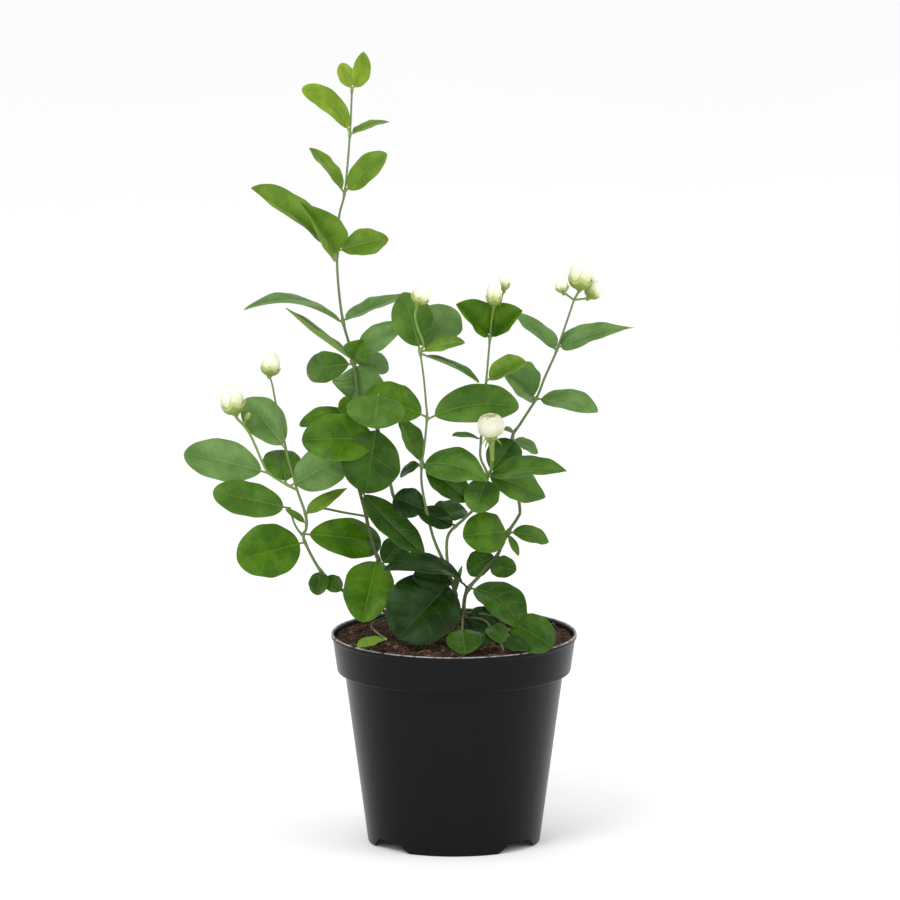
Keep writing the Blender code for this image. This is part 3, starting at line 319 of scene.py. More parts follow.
LEFT_ROUTE = [
    (-112.2, 287.5, -4), (-111, 283.6, -4), (-108.8, 272, -4), (-104.5, 253.7, -4), (-102, 240, -5),
    (-99, 229, -6), (-95.5, 217, -6), (-90.5, 202, -6), (-90.5, 193, -5), (-92, 188, -5),
    (-81.3, 167.5, -4), (-66, 154, -3), (-45, 143.5, -1), (-31, 138, 2), (-27, 131, 3),
]
LEFT_RADII = [0.6, 0.72, 0.85, 0.95, 1.1, 1.3]
LEFT_BRANCHES = [
    ([(-133.2, 263.5, -12), (-127, 256.5, -12), (-122.8, 249, -11), (-116, 233, -10), (-112, 227.5, -9),
      (-104, 222.5, -7), (-96, 218, -6)], [0.9, 0.75, 0.8]),
    ([(-128.5, 259, -12), (-126.8, 262.5, -13)], [0.7, 0.6]),
    ([(-92, 189, -5), (-97, 196, -6), (-100.5, 207, -7)], [0.7, 0.65]),
    ([(-37, 141, 0), (-50, 134.5, -14), (-47, 129, -30), (-41.5, 125, -46)], [0.7, 0.6]),
    ([(-90.6, 203, -6), (-84, 207, -1), (-67, 204, 13), (-50, 201, 15), (-44, 199.5, 15)], [0.8, 0.65]),
]
LEFT_LEAVES = [
    (-103.5, 243, -127.5, 275, 12, 25, 76, 0.05, 10, 0, 0.5, PAINTED_SHEEN_GREY),
    (-113, 228.5, -165, 241, 2, 27, 74, 0.05, 10, 0, 0.6, PAINTED_SHEEN_GREY),
    (-103, 221, -107, 243, 14, 24, 78, 0.05, 8, 0, 0.7, MID),
    (-100, 221, -66, 239, -2, 28, 72, 0.05, 8, 0, 0.9, PAINTED_SHEEN_GREY),
    (-100.5, 206.5, -147.3, 216.8, -20, 22.5, 76, 0.03, 10, 0, 1.1, MID),
    (-91, 185.5, -132.5, 174, -22, 34, 82, 0.05, 10, 0, 0.9, SUN),
    (-93, 191.5, -44.5, 184.5, 20, 25, 76, 0.08, 10, 0, 0.7, SUN),
    (-91, 203, -65, 219.5, 4, 9.5, 62, 0.03, 10, 0, -0.6, FRESH),
    (-90.5, 197, -103, 206, -10, 5, 60, 0.05, 10, 0, 0.3, MID),
    (-81.3, 168, -83.5, 152.5, -16, 12.5, 82, 0.06, 8, 0, 1.0, DEEP),
    (-78, 165, -69.5, 155, -14, 11, 82, 0.06, 8, 0, 1.0, DEEP),
    (-41.5, 125, -59, 120, -57, 10, 34, 0.06, 8, 0, 0.6, FRESH),
]

SHOOTS = {
    "leader": (LEADER_ROUTE, LEADER_RADII, [], LEADER_LEAVES),
    "middle": (MIDDLE_ROUTE, MIDDLE_RADII, [], MIDDLE_LEAVES),
    "fork": (FORK_ROUTE, FORK_RADII, FORK_BRANCHES, FORK_LEAVES),
    "right": (RIGHT_ROUTE, RIGHT_RADII, RIGHT_BRANCHES, RIGHT_LEAVES),
    "left": (LEFT_ROUTE, LEFT_RADII, LEFT_BRANCHES, LEFT_LEAVES),
}

# How far each shoot leans back, or forward where it is under 0, for each millimetre that it rises
LEANS = {"leader": 0.07, "middle": -0.03, "fork": -0.1, "right": 0.08, "left": 0.12}

# Buds as (node, shoot, seat, tip, radius), each standing in the green cup that its shoot ends in
BUDS = [
    ("bud_left_large", "left", (-133.6, 266.5, -12.5), (-138.2, 286, -13), 7.2),
    ("bud_left_pointed", "left", (-112.6, 290.5, -4), (-110.8, 304.5, -4), 5.7),
    ("bud_centre", "fork", (-22, 335.5, -16), (-16.5, 348, -17), 5.6),
    ("bud_upper_front", "fork", (24.2, 334.5, -3.5), (25, 352, -4), 4.5),
    ("bud_upper_back", "fork", (30.5, 344, 4), (30, 355.5, 4), 3.6),
    ("bud_right_large", "right", (76.8, 344.5, -9.5), (79.5, 365.5, -11), 7.4),
    ("bud_right_small", "right", (66.5, 342.6, -13.5), (64.6, 351.4, -16), 3.9),
    ("bud_right_low", "right", (82.8, 339, -3), (89, 348.5, -1), 4.8),
]
GREEN_BUD_SHOOT = "left"
GREEN_BUD = ((-127, 262, -13), (-125, 266.5, -13), 1.9)
GREEN_BUD_PETALS = 3
BLOOM_SHOOT = "fork"
BLOOM_SEAT = (22.8, 250, -21)
BLOOM_AXIS = (-0.05, -0.3, 1.0)
BLOOM_CORE_HEIGHT = 15.0
BLOOM_CORE_RADIUS = 4.0
HEART_SHARE = 0.66
SEPALS = 7
SEPAL_REACH = 5.8
SEPAL_DROP = 2.4
SEPAL_WIDTH = 1.15
SEPAL_SIDES = 8
PETAL_THICKNESS = 0.45
PETAL_OVERLAP = 0.055
PETAL_ROWS = 14
PETAL_CELLS = 12
PETAL_TIP_START = 0.76
PETAL_TIP_REACH = 0.33
BLOOM_CREASE = 50

# Whorls of the bloom, from the outside in: petals, offset and span in degrees, and then the profile of
# a petal from its foot to its tip as (radius, height, share of the span)
BLOOM_WHORLS = (
    (5, 0.0, 106,
     ((2.4, 2.2, 0.8), (6.6, 4.4, 1.0), (7.8, 8.4, 1.0), (7.4, 12.6, 1.0), (5.2, 15.2, 1.0))),
    (4, 0.4, 118,
     ((2.2, 3.4, 0.9), (5.6, 6.4, 1.0), (6.9, 10.2, 1.0), (6.3, 13.2, 1.0), (3.9, 15.6, 1.0))),
    (3, 0.15, 136,
     ((1.8, 3.6, 0.9), (4.2, 7.0, 1.0), (5.3, 10.6, 1.0), (4.6, 13.6, 1.0), (2.7, 15.8, 1.0))),
    (3, 0.6, 136,
     ((1.0, 4.0, 0.9), (2.5, 7.5, 1.0), (3.4, 10.8, 1.0), (2.9, 13.5, 1.0), (1.5, 15.5, 1.0))),
)

# The end of a body that closes along a thin edge, and the four numbers of a point that needs none
EDGE = "edge"
PLAIN = (0.0, 0.0, 0.0, 0.0)


# Places, directions and curves

def spot(right, level, back, lean=0.0):
    """A point on the plant. A shoot that leans goes further back, or forward, as it rises."""
    back = back + lean * max(0.0, level - LEAN_START)
    return Vector((right * MM + PLANT_SHIFT_X, back * MM, (level - SIGHT_SLOPE * back) * MM))


def pot_spot(x, y, z):
    """A point in millimetres from the middle of the pot's foot."""
    return Vector((x * MM + PLANT_SHIFT_X, y * MM, z * MM))


def mixed(a, b, share):
    return a + (b - a) * share


def blended(a, b, share):
    return tuple(mixed(x, y, share) for x, y in zip(a, b))


def bell(distance, reach):
    return math.exp(-((distance / reach) ** 2))


def turns(count):
    return [2 * math.pi * k / count for k in range(count)]


def turned(side, across, turn):
    """The direction at a turn round the ring that side and across span."""
    return side * math.cos(turn) + across * math.sin(turn)


def oval_ring(place, side, across, count, detail):
    """A ring round a place, as wide as side and across are long."""
    return [(place + turned(side, across, turn), detail) for turn in turns(count)]


def heading(path, i):
    """The direction in which a path runs at its point i."""
    return (path[min(i + 1, len(path) - 1)] - path[max(i - 1, 0)]).normalized()


def curve(a, b, c, d, t):
    """The place at a share t of the way from b to c, on a smooth curve through all four."""
    return 0.5 * (
        2 * b + (c - a) * t + (2 * a - 5 * b + 4 * c - d) * t * t + (3 * b - a - 3 * c + d) * t * t * t
    )


def smooth_route(points, step):
    """Points every step or so along a smooth curve through the given points."""
    ends = [points[0] * 2 - points[1]] + points + [points[-1] * 2 - points[-2]]
    route = []
    for i in range(1, len(ends) - 2):
        count = max(1, round((ends[i + 1] - ends[i]).length / step))
        route += [curve(*ends[i - 1 : i + 3], k / count) for k in range(count)]
    return route + [points[-1]]


def smooth_profile(profile, t):
    """The place at t, from 0 to 1, on a smooth curve through the rows of a profile."""
    rows = [profile[0]] + list(profile) + [profile[-1]]
    place = min(t, 0.9999) * (len(profile) - 1)
    i = int(place)
    return [curve(*column, place - i) for column in zip(*rows[i : i + 4])]


def shoot_route(rows, lean):
    """The route of a shoot, carried straight down into the soil."""
    points = [spot(*row, lean) for row in rows]
    above, foot = points[-1].copy(), points[-1].copy()
    above.z = STEM_STRAIGHT_FROM * MM
    foot.z = STEM_FOOT * MM
    return smooth_route(points + [above], STEM_STEP * MM) + [foot]


# Meshes

def add_object(name, data):
    obj = bpy.data.objects.new(name, data)
    bpy.context.scene.collection.objects.link(obj)
    return obj


def shade(mesh, sharp):
    """Smooth shading, with creases where faces meet at more than so many degrees, if at all."""
    mesh.shade_smooth()
    if sharp is not None:
        mesh.set_sharp_from_angle(angle=math.radians(sharp))


class Skin:
    """The points and faces of one piece, with four numbers at each point for its materials to read."""

    def __init__(self):
        self.points = []
        self.detail = []
        self.faces = []
        self.slots = []

    def add_face(self, corners, slot):
        self.faces.append(corners)
        self.slots.append(slot)

    def add_point(self, point, detail):
        self.points.append(tuple(point))
        self.detail.append(detail)
        return len(self.points) - 1

    def add_sheet_quad(self, corners, above, slot):
        """Two triangles, split along the same line on both faces of a sheet, so that they stay apart."""
        a, b, c, d = corners
        halves = ((a, b, c), (a, c, d)) if above else ((a, b, d), (b, c, d))
        for half in halves:
            self.add_face(half, slot)

    def close(self, start, count, slot, end):
        """Close the ring that begins at start: along a thin edge, with a flat face, or on a point."""
        if end == EDGE:
            for k in range(count // 2 - 1):
                low, high = start + k, start + count - 1 - k
                self.add_face((low, low + 1, high - 1, high), slot)
        elif end is None:
            self.add_face(tuple(range(start, start + count)), slot)
        else:
            tip = self.add_point(*end)
            for k in range(count):
                self.add_face((start + k, start + (k + 1) % count, tip), slot)

    def loft(self, rings, slot, first=None, last=None, sheet=False, wrap=False):
        """A closed body through rings of (point, detail) pairs, all of the same length.

        The rings of a thin sheet run over its one face and back over the other. In a body that
        wraps, the last ring meets the first.
        """
        start = len(self.points)
        count = len(rings[0])
        for ring in rings:
            for point, detail in ring:
                self.add_point(point, detail)
        for row in range(len(rings) if wrap else len(rings) - 1):
            low = start + row * count
            high = start + (row + 1) % len(rings) * count
            for k in range(count):
                after = (k + 1) % count
                corners = (low + k, low + after, high + after, high + k)
                if sheet:
                    self.add_sheet_quad(corners, k < count // 2, slot)
                else:
                    self.add_face(corners, slot)
        if not wrap:
            self.close(start, count, slot, first)
            self.close(start + (len(rings) - 1) * count, count, slot, last)

    def make(self, name, materials, sharp=None):
        mesh = bpy.data.meshes.new(name)
        mesh.from_pydata(self.points, [], self.faces)
        colours = mesh.attributes.new("detail", "FLOAT_COLOR", "POINT")
        colours.data.foreach_set("color", [value for row in self.detail for value in row])
        mesh.polygons.foreach_set("material_index", self.slots)
        for material in materials:
            mesh.materials.append(material)
        work = bmesh.new()
        work.from_mesh(mesh)
        bmesh.ops.recalc_face_normals(work, faces=work.faces)
        work.to_mesh(mesh)
        work.free()
        shade(mesh, sharp)
        return add_object(name, mesh)


def dress(obj, slot, *nodes):
    """Put a finished piece on the part's one body, in place of the plain nodes that it stands for."""
    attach(obj, "root")
    if nodes:
        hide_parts(*nodes)


# Materials

def tint(red, green, blue):
    """A colour given in the usual steps of 0 to 255, as the shaders' linear values."""
    shares = [channel / 255 for channel in (red, green, blue)]
    return tuple(s / 12.92 if s < 0.04 else ((s + 0.055) / 1.055) ** 2.4 for s in shares)


class Paint:
    """A Principled material under construction. Each pattern method gives an output to link."""

    def __init__(self, name):
        self.material = bpy.data.materials.new(name)
        self.material.use_nodes = True
        self.tree = self.material.node_tree
        self.shader = self.tree.nodes["Principled BSDF"]
        self.relief = None

    def put(self, socket, value):
        """Link an output to the socket, or set the socket to a number or a colour."""
        if hasattr(value, "links"):
            self.tree.links.new(value, socket)
        else:
            socket.default_value = (*value, 1.0) if socket.type == "RGBA" else value

    def set(self, **values):
        """Put values on the shader's own sockets, named with _ for a space."""
        for key, value in values.items():
            self.put(self.shader.inputs[key.replace("_", " ")], value)

    def node(self, kind, inputs, **settings):
        made = self.tree.nodes.new("ShaderNode" + kind)
        for key, value in settings.items():
            setattr(made, key, value)
        for key, value in inputs.items():
            self.put(made.inputs[key], value)
        return made.outputs

    def math(self, operation, *values):
        return self.node("Math", dict(enumerate(values)), operation=operation)[0]

    def times(self, a, b):
        return self.math("MULTIPLY", a, b)

    def scaled(self, value, factor, offset):
        return self.math("MULTIPLY_ADD", value, factor, offset)

    def ramp(self, value, low, high):
        """0 at low, 1 at high, smooth between and level beyond. High may be under low."""
        inputs = {"Value": value, "From Min": low, "From Max": high}
        return self.node("MapRange", inputs, interpolation_type="SMOOTHSTEP")["Result"]

    def mix(self, share, a, b):
        return self.node("Mix", {0: share, 6: a, 7: b}, data_type="RGBA")[2]

    def over(self, base, colour, mask, strength):
        """The base with a colour laid over it at that strength where the mask is."""
        return self.mix(self.times(mask, strength), base, colour)

    def detail(self):
        """The four numbers that the mesh holds at each point."""
        source = self.node("Attribute", {}, attribute_name="detail")
        return [*self.node("SeparateXYZ", {0: source["Vector"]}), source["Alpha"]]

    def place(self):
        return self.node("TexCoord", {})["Object"]

    def height(self):
        return self.node("SeparateXYZ", {0: self.place()})["Z"]

    def noise(self, scale, detail=3.0, roughness=0.55, stretch=None):
        place = self.place()
        if stretch is not None:
            place = self.node("Mapping", {"Vector": place, "Scale": stretch})["Vector"]
        inputs = {"Vector": place, "Scale": scale, "Detail": detail, "Roughness": roughness}
        return self.node("TexNoise", inputs)["Fac"]

    def cells(self, scale, feature="F1"):
        inputs = {"Vector": self.place(), "Scale": scale}
        return self.node("TexVoronoi", inputs, feature=feature)["Distance"]

    def bump(self, height, distance, strength):
        """One more layer of relief over those that the surface has."""
        inputs = {"Height": height, "Distance": distance, "Strength": strength}
        if self.relief is not None:
            inputs["Normal"] = self.relief
        self.relief = self.node("Bump", inputs)["Normal"]
        self.set(Normal=self.relief)


def leaf_paint(tone):
    """Leaf green with a pale midrib, curved side veins, mottling and a paler, duller underside."""
    dark, light, vein_light = TONES[tone]
    dark, light = tint(*dark), tint(*light)
    pale = blended(light, tint(*VEIN_TONE), vein_light)
    dull = blended(light, tint(*UNDERSIDE_TONE), 0.5)
    paint = Paint("leaf_" + tone)
    along, across, reach, under = paint.detail()
    off = paint.math("ABSOLUTE", across)
    rib_width = paint.scaled(along, -0.45, 0.62)
    rib = paint.ramp(paint.math("DIVIDE", paint.times(off, reach), rib_width), 1.15, 0.45)
    sweep = paint.times(paint.math("POWER", off, VEIN_CURVE), VEIN_SWEEP)
    wander = paint.scaled(paint.noise(90.0, 2.0), 0.05, -0.025)
    station = paint.math("SUBTRACT", paint.math("ADD", along, wander), sweep)
    shift = paint.times(paint.math("GREATER_THAN", across, 0.0), VEIN_OFFSET)
    wave = paint.math("PINGPONG", paint.scaled(station, VEIN_PAIRS, shift), 0.5)
    vein = paint.times(paint.ramp(wave, 0.075, 0.015), paint.ramp(off, 0.96, 0.6))
    net = paint.ramp(paint.cells(620.0, "DISTANCE_TO_EDGE"), 0.12, 0.0)
    base = paint.mix(paint.ramp(paint.noise(70.0, 4.0), 0.32, 0.68), dark, light)
    base = paint.over(base, light, net, 0.14)
    base = paint.over(base, pale, vein, 0.13)
    base = paint.over(base, pale, paint.ramp(off, 0.95, 1.0), 0.2)
    base = paint.over(base, pale, rib, 0.42)
    below = paint.mix(paint.math("MAXIMUM", rib, paint.times(vein, 0.5)), dull, pale)
    paint.set(Base_Color=paint.over(base, below, under, 0.8))
    paint.set(Roughness=paint.scaled(under, 0.2, paint.scaled(paint.noise(45.0), 0.16, 0.3)))
    paint.set(Subsurface_Weight=0.06, Subsurface_Scale=0.002, Subsurface_Radius=(0.6, 1.0, 0.2))
    paint.set(Specular_IOR_Level=0.13)
    paint.bump(paint.noise(420.0, 4.0), 0.00012, 0.5)
    paint.bump(paint.math("SUBTRACT", 1.0, vein), 0.00025, 0.6)
    return paint.material


def stem_paint():
    """Green and downy on young wood, olive and then brown and fissured towards the soil."""
    paint = Paint("stem")
    age, tan, stalk, _ = paint.detail()
    grain = paint.noise(900.0, 4.0, stretch=(1.0, 1.0, 0.22))
    young = paint.mix(paint.noise(260.0), tint(80, 100, 52), tint(114, 132, 84))
    young = paint.mix(stalk, young, paint.mix(grain, tint(88, 118, 42), tint(122, 148, 72)))
    middle = paint.mix(grain, tint(48, 62, 34), tint(88, 96, 60))
    dark = paint.mix(grain, tint(44, 36, 24), tint(112, 94, 66))
    straw = paint.mix(grain, tint(104, 92, 58), tint(172, 160, 116))
    wood = paint.mix(paint.ramp(age, 0.72, 0.97), middle, paint.mix(tan, dark, straw))
    base = paint.mix(paint.ramp(age, 0.25, 0.75), young, wood)
    spots = paint.ramp(paint.cells(700.0), 0.32, 0.1)
    paint.set(Base_Color=paint.over(base, tint(150, 134, 102), spots, paint.ramp(age, 0.3, 0.8)))
    paint.set(Roughness=paint.scaled(age, 0.25, 0.5), Specular_IOR_Level=0.25)
    paint.bump(grain, 0.0003, 0.7)
    return paint.material


def cup_paint():
    """Yellow-green, paler towards the tips of the teeth."""
    paint = Paint("calyx")
    along = paint.detail()[0]
    base = paint.mix(paint.noise(500.0), tint(92, 116, 38), tint(134, 150, 66))
    paint.set(Base_Color=paint.mix(paint.ramp(along, 0.5, 1.0), base, tint(176, 184, 116)))
    paint.set(Roughness=0.55)
    paint.bump(paint.noise(1500.0, 2.0), 0.0002, 0.6)
    return paint.material


def petal_paint(name, dark, light):
    """Petals between the two tones, green where they leave their cup, with fine streaks along them. Inner
    faces are cream, and made lighter as painted light in the bloom's shaded hollow.
    """
    paint = Paint(name)
    along, _, inside, seam = paint.detail()
    streak = paint.noise(420.0, 3.0, stretch=(1.0, 1.0, 0.15))
    foot = paint.mix(paint.noise(300.0), tint(150, 168, 92), tint(186, 198, 130))
    base = paint.mix(paint.ramp(along, 0.1, 0.7), foot, paint.mix(streak, tint(*dark), tint(*light)))
    base = paint.over(base, tint(188, 192, 140), seam, 0.6)
    # Inner faces: a cream tint made light enough to act as painted light against the shade inside the bloom
    paint.set(Base_Color=paint.mix(inside, base, tint(252, 240, 186)))
    paint.set(Roughness=paint.scaled(streak, 0.12, 0.44), Sheen_Weight=0.15)
    paint.set(Subsurface_Weight=0.5, Subsurface_Scale=0.005, Subsurface_Radius=(1.0, 0.9, 0.6))
    paint.bump(streak, 0.00012, 0.5)
    return paint.material


def soil_paint():
    """Dark moist peat with lighter clumps and a few pale grains."""
    paint = Paint("coco_soil")
    clump = paint.ramp(paint.noise(180.0, 6.0, 0.7), 0.35, 0.7)
    grain = paint.ramp(paint.noise(900.0), 0.62, 0.78)
    base = paint.mix(clump, (0.012, 0.006, 0.004), (0.085, 0.042, 0.024))
    paint.set(Base_Color=paint.mix(grain, base, (0.2, 0.11, 0.06)))
    paint.set(Roughness=0.95, Specular_IOR_Level=0.25)
    paint.bump(paint.noise(650.0, 6.0, 0.7), 0.0014, 1.0)
    return paint.material


def crumb_paint(name, dark, light):
    """What lies loose on the soil: dull, rough and mottled between the two colours."""
    paint = Paint(name)
    paint.set(Base_Color=paint.mix(paint.noise(520.0, 4.0), dark, light))
    paint.set(Roughness=0.9, Specular_IOR_Level=0.25)
    paint.bump(paint.noise(1400.0, 4.0, 0.7), 0.0004, 0.8)
    return paint.material


def pot_paint():
    """Black moulded plastic: satin, with a fine pebble, faint flow lines, dust and a painted highlight along
    the lip, mottled like a scuff.
    """
    paint = Paint("black_plastic")
    flow = paint.noise(40.0, 4.0, stretch=(1.0, 1.0, 0.06))
    dust = paint.ramp(paint.noise(150.0, 5.0, 0.65), 0.55, 0.85)
    painted_highlight_mottle = paint.ramp(paint.noise(260.0, 4.0), 0.3, 0.6)
    lip = paint.ramp(paint.height(), (POT_HEIGHT - 0.7) * MM, (POT_HEIGHT - 0.3) * MM)
    base = paint.mix(flow, (0.0028, 0.0029, 0.0032), (0.0046, 0.0047, 0.0052))
    base = paint.over(base, (0.1, 0.09, 0.08), dust, 0.03)
    smear = paint.scaled(paint.noise(22.0, 5.0, 0.6), 0.1, 0.24)
    # A pale, mottled line round the top of the lip: a painted highlight
    paint.set(Base_Color=paint.over(base, tint(150, 148, 142), lip, painted_highlight_mottle))
    paint.set(Roughness=paint.scaled(dust, 0.1, smear), Specular_IOR_Level=0.11)
    paint.bump(paint.noise(2600.0, 2.0), 0.00004, 0.6)
    paint.bump(flow, 0.0002, 0.35)
    return paint.material


def floor_paint():
    paint = Paint("pale_floor")
    paint.set(Base_Color=paint.mix(paint.noise(6.0), (0.92, 0.92, 0.92), (0.94, 0.94, 0.94)))
    paint.set(Roughness=0.8)
    return paint.material


# Leaves and stems

def blade_outline(u, blunt):
    """Half width of a blade as a share of its largest, from its foot at 0 to its tip at 1.

    A blunt blade is rounder at both ends, and one under 0 is broad near its foot with a long tip.
    """
    foot = 0.78 - (0.2 if blunt > 0 else -0.3) * blunt
    tip = 0.82 - (0.3 if blunt > 0 else 0.5) * blunt
    peak = foot / (foot + tip)
    full = peak**foot * (1 - peak) ** tip
    return max(0.0, u) ** foot * max(0.0, 1 - u) ** tip / full


def leaf_frame(base, tip, turn):
    """The directions along a leaf, out of its upper face and across it."""
    axis = (tip - base).normalized()
    facing = (axis * SIGHT.dot(axis) - SIGHT).normalized()
    up = axis.cross(facing)
    if up.z < 0:
        up = -up
    normal = turned(up, facing, math.radians(turn)).normalized()
    return axis, normal, axis.cross(normal).normalized()


class Leaf:
    """A blade on its stalk: folded along the midrib, arched, waved at its edges and quilted by veins."""

    def __init__(self, base, tip, form, phase):
        width, turn, self.arch, fold, self.bend, self.blunt, _ = form
        self.base = base
        self.phase = phase
        self.axis, self.normal, self.side = leaf_frame(base, tip, turn)
        self.length = (tip - base).length
        self.width = width * MM
        self.fold = math.radians(fold)
        self.small = width < SMALL_LEAF
        self.stalk = PETIOLE_SHARE if self.blunt >= 0 else SHORT_PETIOLE_SHARE
        self.lopsided = LOPSIDED * math.sin(2.4 * phase + 0.7)

    def middle(self, t):
        """The place on the midrib at a share t of the way to the tip, with the leaf's arch and bend."""
        hump = 4 * t * (1 - t) * self.length
        rise = self.normal * (self.arch * hump) + self.side * (self.bend * hump)
        return self.base + self.axis * (self.length * t) + rise

    def local(self, t):
        """The directions up and across at a place along the leaf."""
        ahead = (self.middle(min(t + 0.01, 1.0)) - self.middle(max(t - 0.01, 0.0))).normalized()
        up = (self.normal - ahead * self.normal.dot(ahead)).normalized()
        return up, ahead.cross(up)

    def relief(self, u, s, reach):
        """Height of the upper face over the folded plane. The phase makes each leaf's waves its own."""
        off = abs(s)
        way = 1.0 if s > 0 else -1.0
        inside = min(1.0, 4 * u * (1 - u))
        wave = math.sin(2 * math.pi * (WAVE_TURNS * u + 0.45 * self.phase) + way) * off**2
        fine = math.sin(2 * math.pi * (FINE_WAVE_TURNS * u + 0.37 * self.phase) + 2.1 * way) * off**3
        dent = noise.noise(Vector((3.1 * self.phase, 2.6 * u, 1.4 * s)))
        vein = VEIN_PAIRS * (u - VEIN_SWEEP * off**VEIN_CURVE) + (VEIN_OFFSET if s > 0 else 0.0)
        pillow = math.sin(math.pi * vein) ** 2 * min(1.0, 3.0 * off) * (1.0 - 0.7 * off**3)
        height = WAVE_SHARE * wave + FINE_WAVE_SHARE * fine + DENT_SHARE * dent + QUILT * pillow
        groove = MIDRIB_DEPTH * MM * bell(off * reach, MIDRIB_REACH * MM) * (1 - 0.6 * u)
        return self.width * inside * height + CROWN * reach * math.sin(math.pi * off) - groove

    def blade_ring(self, u, cells):
        """The outline of a cut across the blade: over its upper face and back over its underside."""
        t = self.stalk + (1 - self.stalk) * u
        up, across = self.local(t)
        start = self.middle(t)
        ripple = 1.0 + EDGE_RIPPLE * math.sin(2 * math.pi * RIPPLE_TURNS * u + 1.7 * self.phase)
        half = self.width / 2 * blade_outline(u, self.blunt) * ripple
        above = []
        below = []
        for k in range(-cells, cells + 1):
            s = math.sin(math.pi / 2 * k / cells)
            off = abs(s)
            way = 1 if s > 0 else -1
            reach = half * (1 + self.lopsided * way)
            lift = off * reach * math.sin(self.fold) + self.relief(u, s, reach)
            place = start + across * (s * reach * math.cos(self.fold)) + up * lift
            rise = turned(up, -across, self.fold * off * way).normalized()
            thick = mixed(BLADE_THICKNESS, EDGE_THICKNESS, off) * MM / 2
            keel = MIDRIB_KEEL * MM * bell(off * reach, KEEL_REACH * MM) * (1 - 0.8 * u)
            above.append((place + rise * thick, (u, s, reach / MM, 0.0)))
            below.append((place - rise * (thick + keel), (u, s, reach / MM, 1.0)))
        return above + below[::-1]

    def stalk_ring(self, share, radius, cells):
        """A ring round the stalk with as many points as a ring of the blade."""
        t = self.stalk * share
        up, across = self.local(t)
        start = self.middle(t)
        gap = (180 - STALK_ARC) / 2
        arc = [gap + STALK_ARC * k / (2 * cells) for k in range(2 * cells + 1)]
        degrees = [180 - part for part in arc] + [-part for part in arc]
        return [(start + turned(across, up, math.radians(turn)) * radius, PLAIN) for turn in degrees]

    def add_to(self, skin, slot):
        rows, cells = SMALL_LEAF_MESH if self.small else LEAF_MESH
        stalk = (SMALL_STALK_RADIUS if self.small else STALK_RADIUS) * MM
        rings = [self.stalk_ring(share, stalk * size, cells) for share, size in STALK_PROFILE]
        for k in range(rows):
            u = 0.5 - 0.5 * math.cos(math.pi * (k + 0.45) / rows)
            rings.append(self.blade_ring(u, cells))
        skin.loft(rings, slot, last=(self.middle(1.0), (1.0, 0.0, 0.0, 0.0)), sheet=True)


def add_stem(skin, route, radii, knots, ages, look, phase):
    """A tube along the route with a swelling at each knot. Its age runs between the two given."""
    lengths = [0.0]
    for a, b in zip(route, route[1:]):
        lengths.append(lengths[-1] + (b - a).length)
    side = Vector((0.0, -1.0, 0.0))
    rings = []
    for i, place in enumerate(route):
        ahead = heading(route, i)
        side = (side - ahead * side.dot(ahead)).normalized()
        across = ahead.cross(side)
        share = lengths[i] / lengths[-1]
        step = share * (len(radii) - 1)
        low = min(int(step), len(radii) - 2)
        radius = mixed(radii[low], radii[low + 1], step - low) * MM
        for knot in knots:
            radius *= 1 + KNOT_SWELL * bell((place - knot).length, KNOT_REACH * MM)
        detail = (mixed(*ages, share), *look, 0.0)
        ring = []
        for turn in turns(STEM_SIDES):
            rough = 1 + 0.04 * math.cos(4 * turn + phase) + 0.05 * noise.noise(place * 400 + side * turn)
            ring.append((place + turned(side, across, turn) * (radius * rough), detail))
        rings.append(ring)
    top = route[0] + (route[0] - route[1]).normalized() * (0.4 * radii[0] * MM)
    skin.loft(rings, 0, first=(top, (ages[0], *look, 0.0)))


def nearest_on(routes, right, level):
    """The point of the routes that a leaf's foot is seen at from the front."""
    target = Vector((right * MM + PLANT_SHIFT_X, level * MM))
    best = None
    for path in routes:
        for a, b in zip(path, path[1:]):
            flat_a = Vector((a.x, a.z + SIGHT_SLOPE * a.y))
            flat_b = Vector((b.x, b.z + SIGHT_SLOPE * b.y))
            along = flat_b - flat_a
            t = 0.0
            if along.length > 0:
                t = max(0.0, min(1.0, (target - flat_a).dot(along) / along.length_squared))
            gap = (flat_a + along * t - target).length
            if best is None or gap < best[0] - 0.2 * MM:
                best = (gap, a + (b - a) * t)
    return best[1]


# Buds, their cups and the bloom

def bud_radius(t, radius):
    """Radius along a bud, from its seat at 0 to its rounded point at 1."""
    return radius * max(0.0, math.sin(math.pi * (0.1 + 0.9 * t) ** 0.86)) ** BUD_FULLNESS


def bud_axes(base, tip):
    """The directions along a bud and across it."""
    axis = (tip - base).normalized()
    side = axis.cross(BUD_SIDE).normalized()
    return axis, side, axis.cross(side)


def bloom_ends():
    """The seat and the top of the bloom's heart."""
    seat = spot(*BLOOM_SEAT, LEANS[BLOOM_SHOOT])
    return seat, seat + Vector(BLOOM_AXIS).normalized() * (BLOOM_CORE_HEIGHT * MM)


def add_bud(skin, base, tip, radius, slot, petals=BUD_PETALS):
    """Overlapping petals that wind round each other and meet in a blunt point."""
    axis, side, across = bud_axes(base, tip)
    length = (tip - base).length
    rings = []
    for row in range(BUD_ROWS):
        t = (row / BUD_ROWS) ** 0.9
        size = bud_radius(t, radius * MM)
        centre = base + axis * (length * t)
        ring = []
        for k in range(petals):
            for j in range(BUD_PLACES):
                place = j / (BUD_PLACES - 1) * BUD_LAP
                swell = 0.88 + 0.17 * place**0.55 - 0.03 * math.sin(math.pi * place)
                turn = 2 * math.pi * (k + place) / petals + BUD_TWIST * t * (1 + 0.5 * t)
                r = size * (1 + (swell - 1) * (0.3 + 0.7 * t))
                seam = bell(place, 0.05) + bell(1 - place, 0.03) * 0.3
                ring.append((centre + turned(side, across, turn) * r, (t, place, 0.0, min(1.0, seam))))
        rings.append(ring)
    skin.loft(rings, slot, last=(tip, (1.0, 0.5, 0.0, 0.2)))


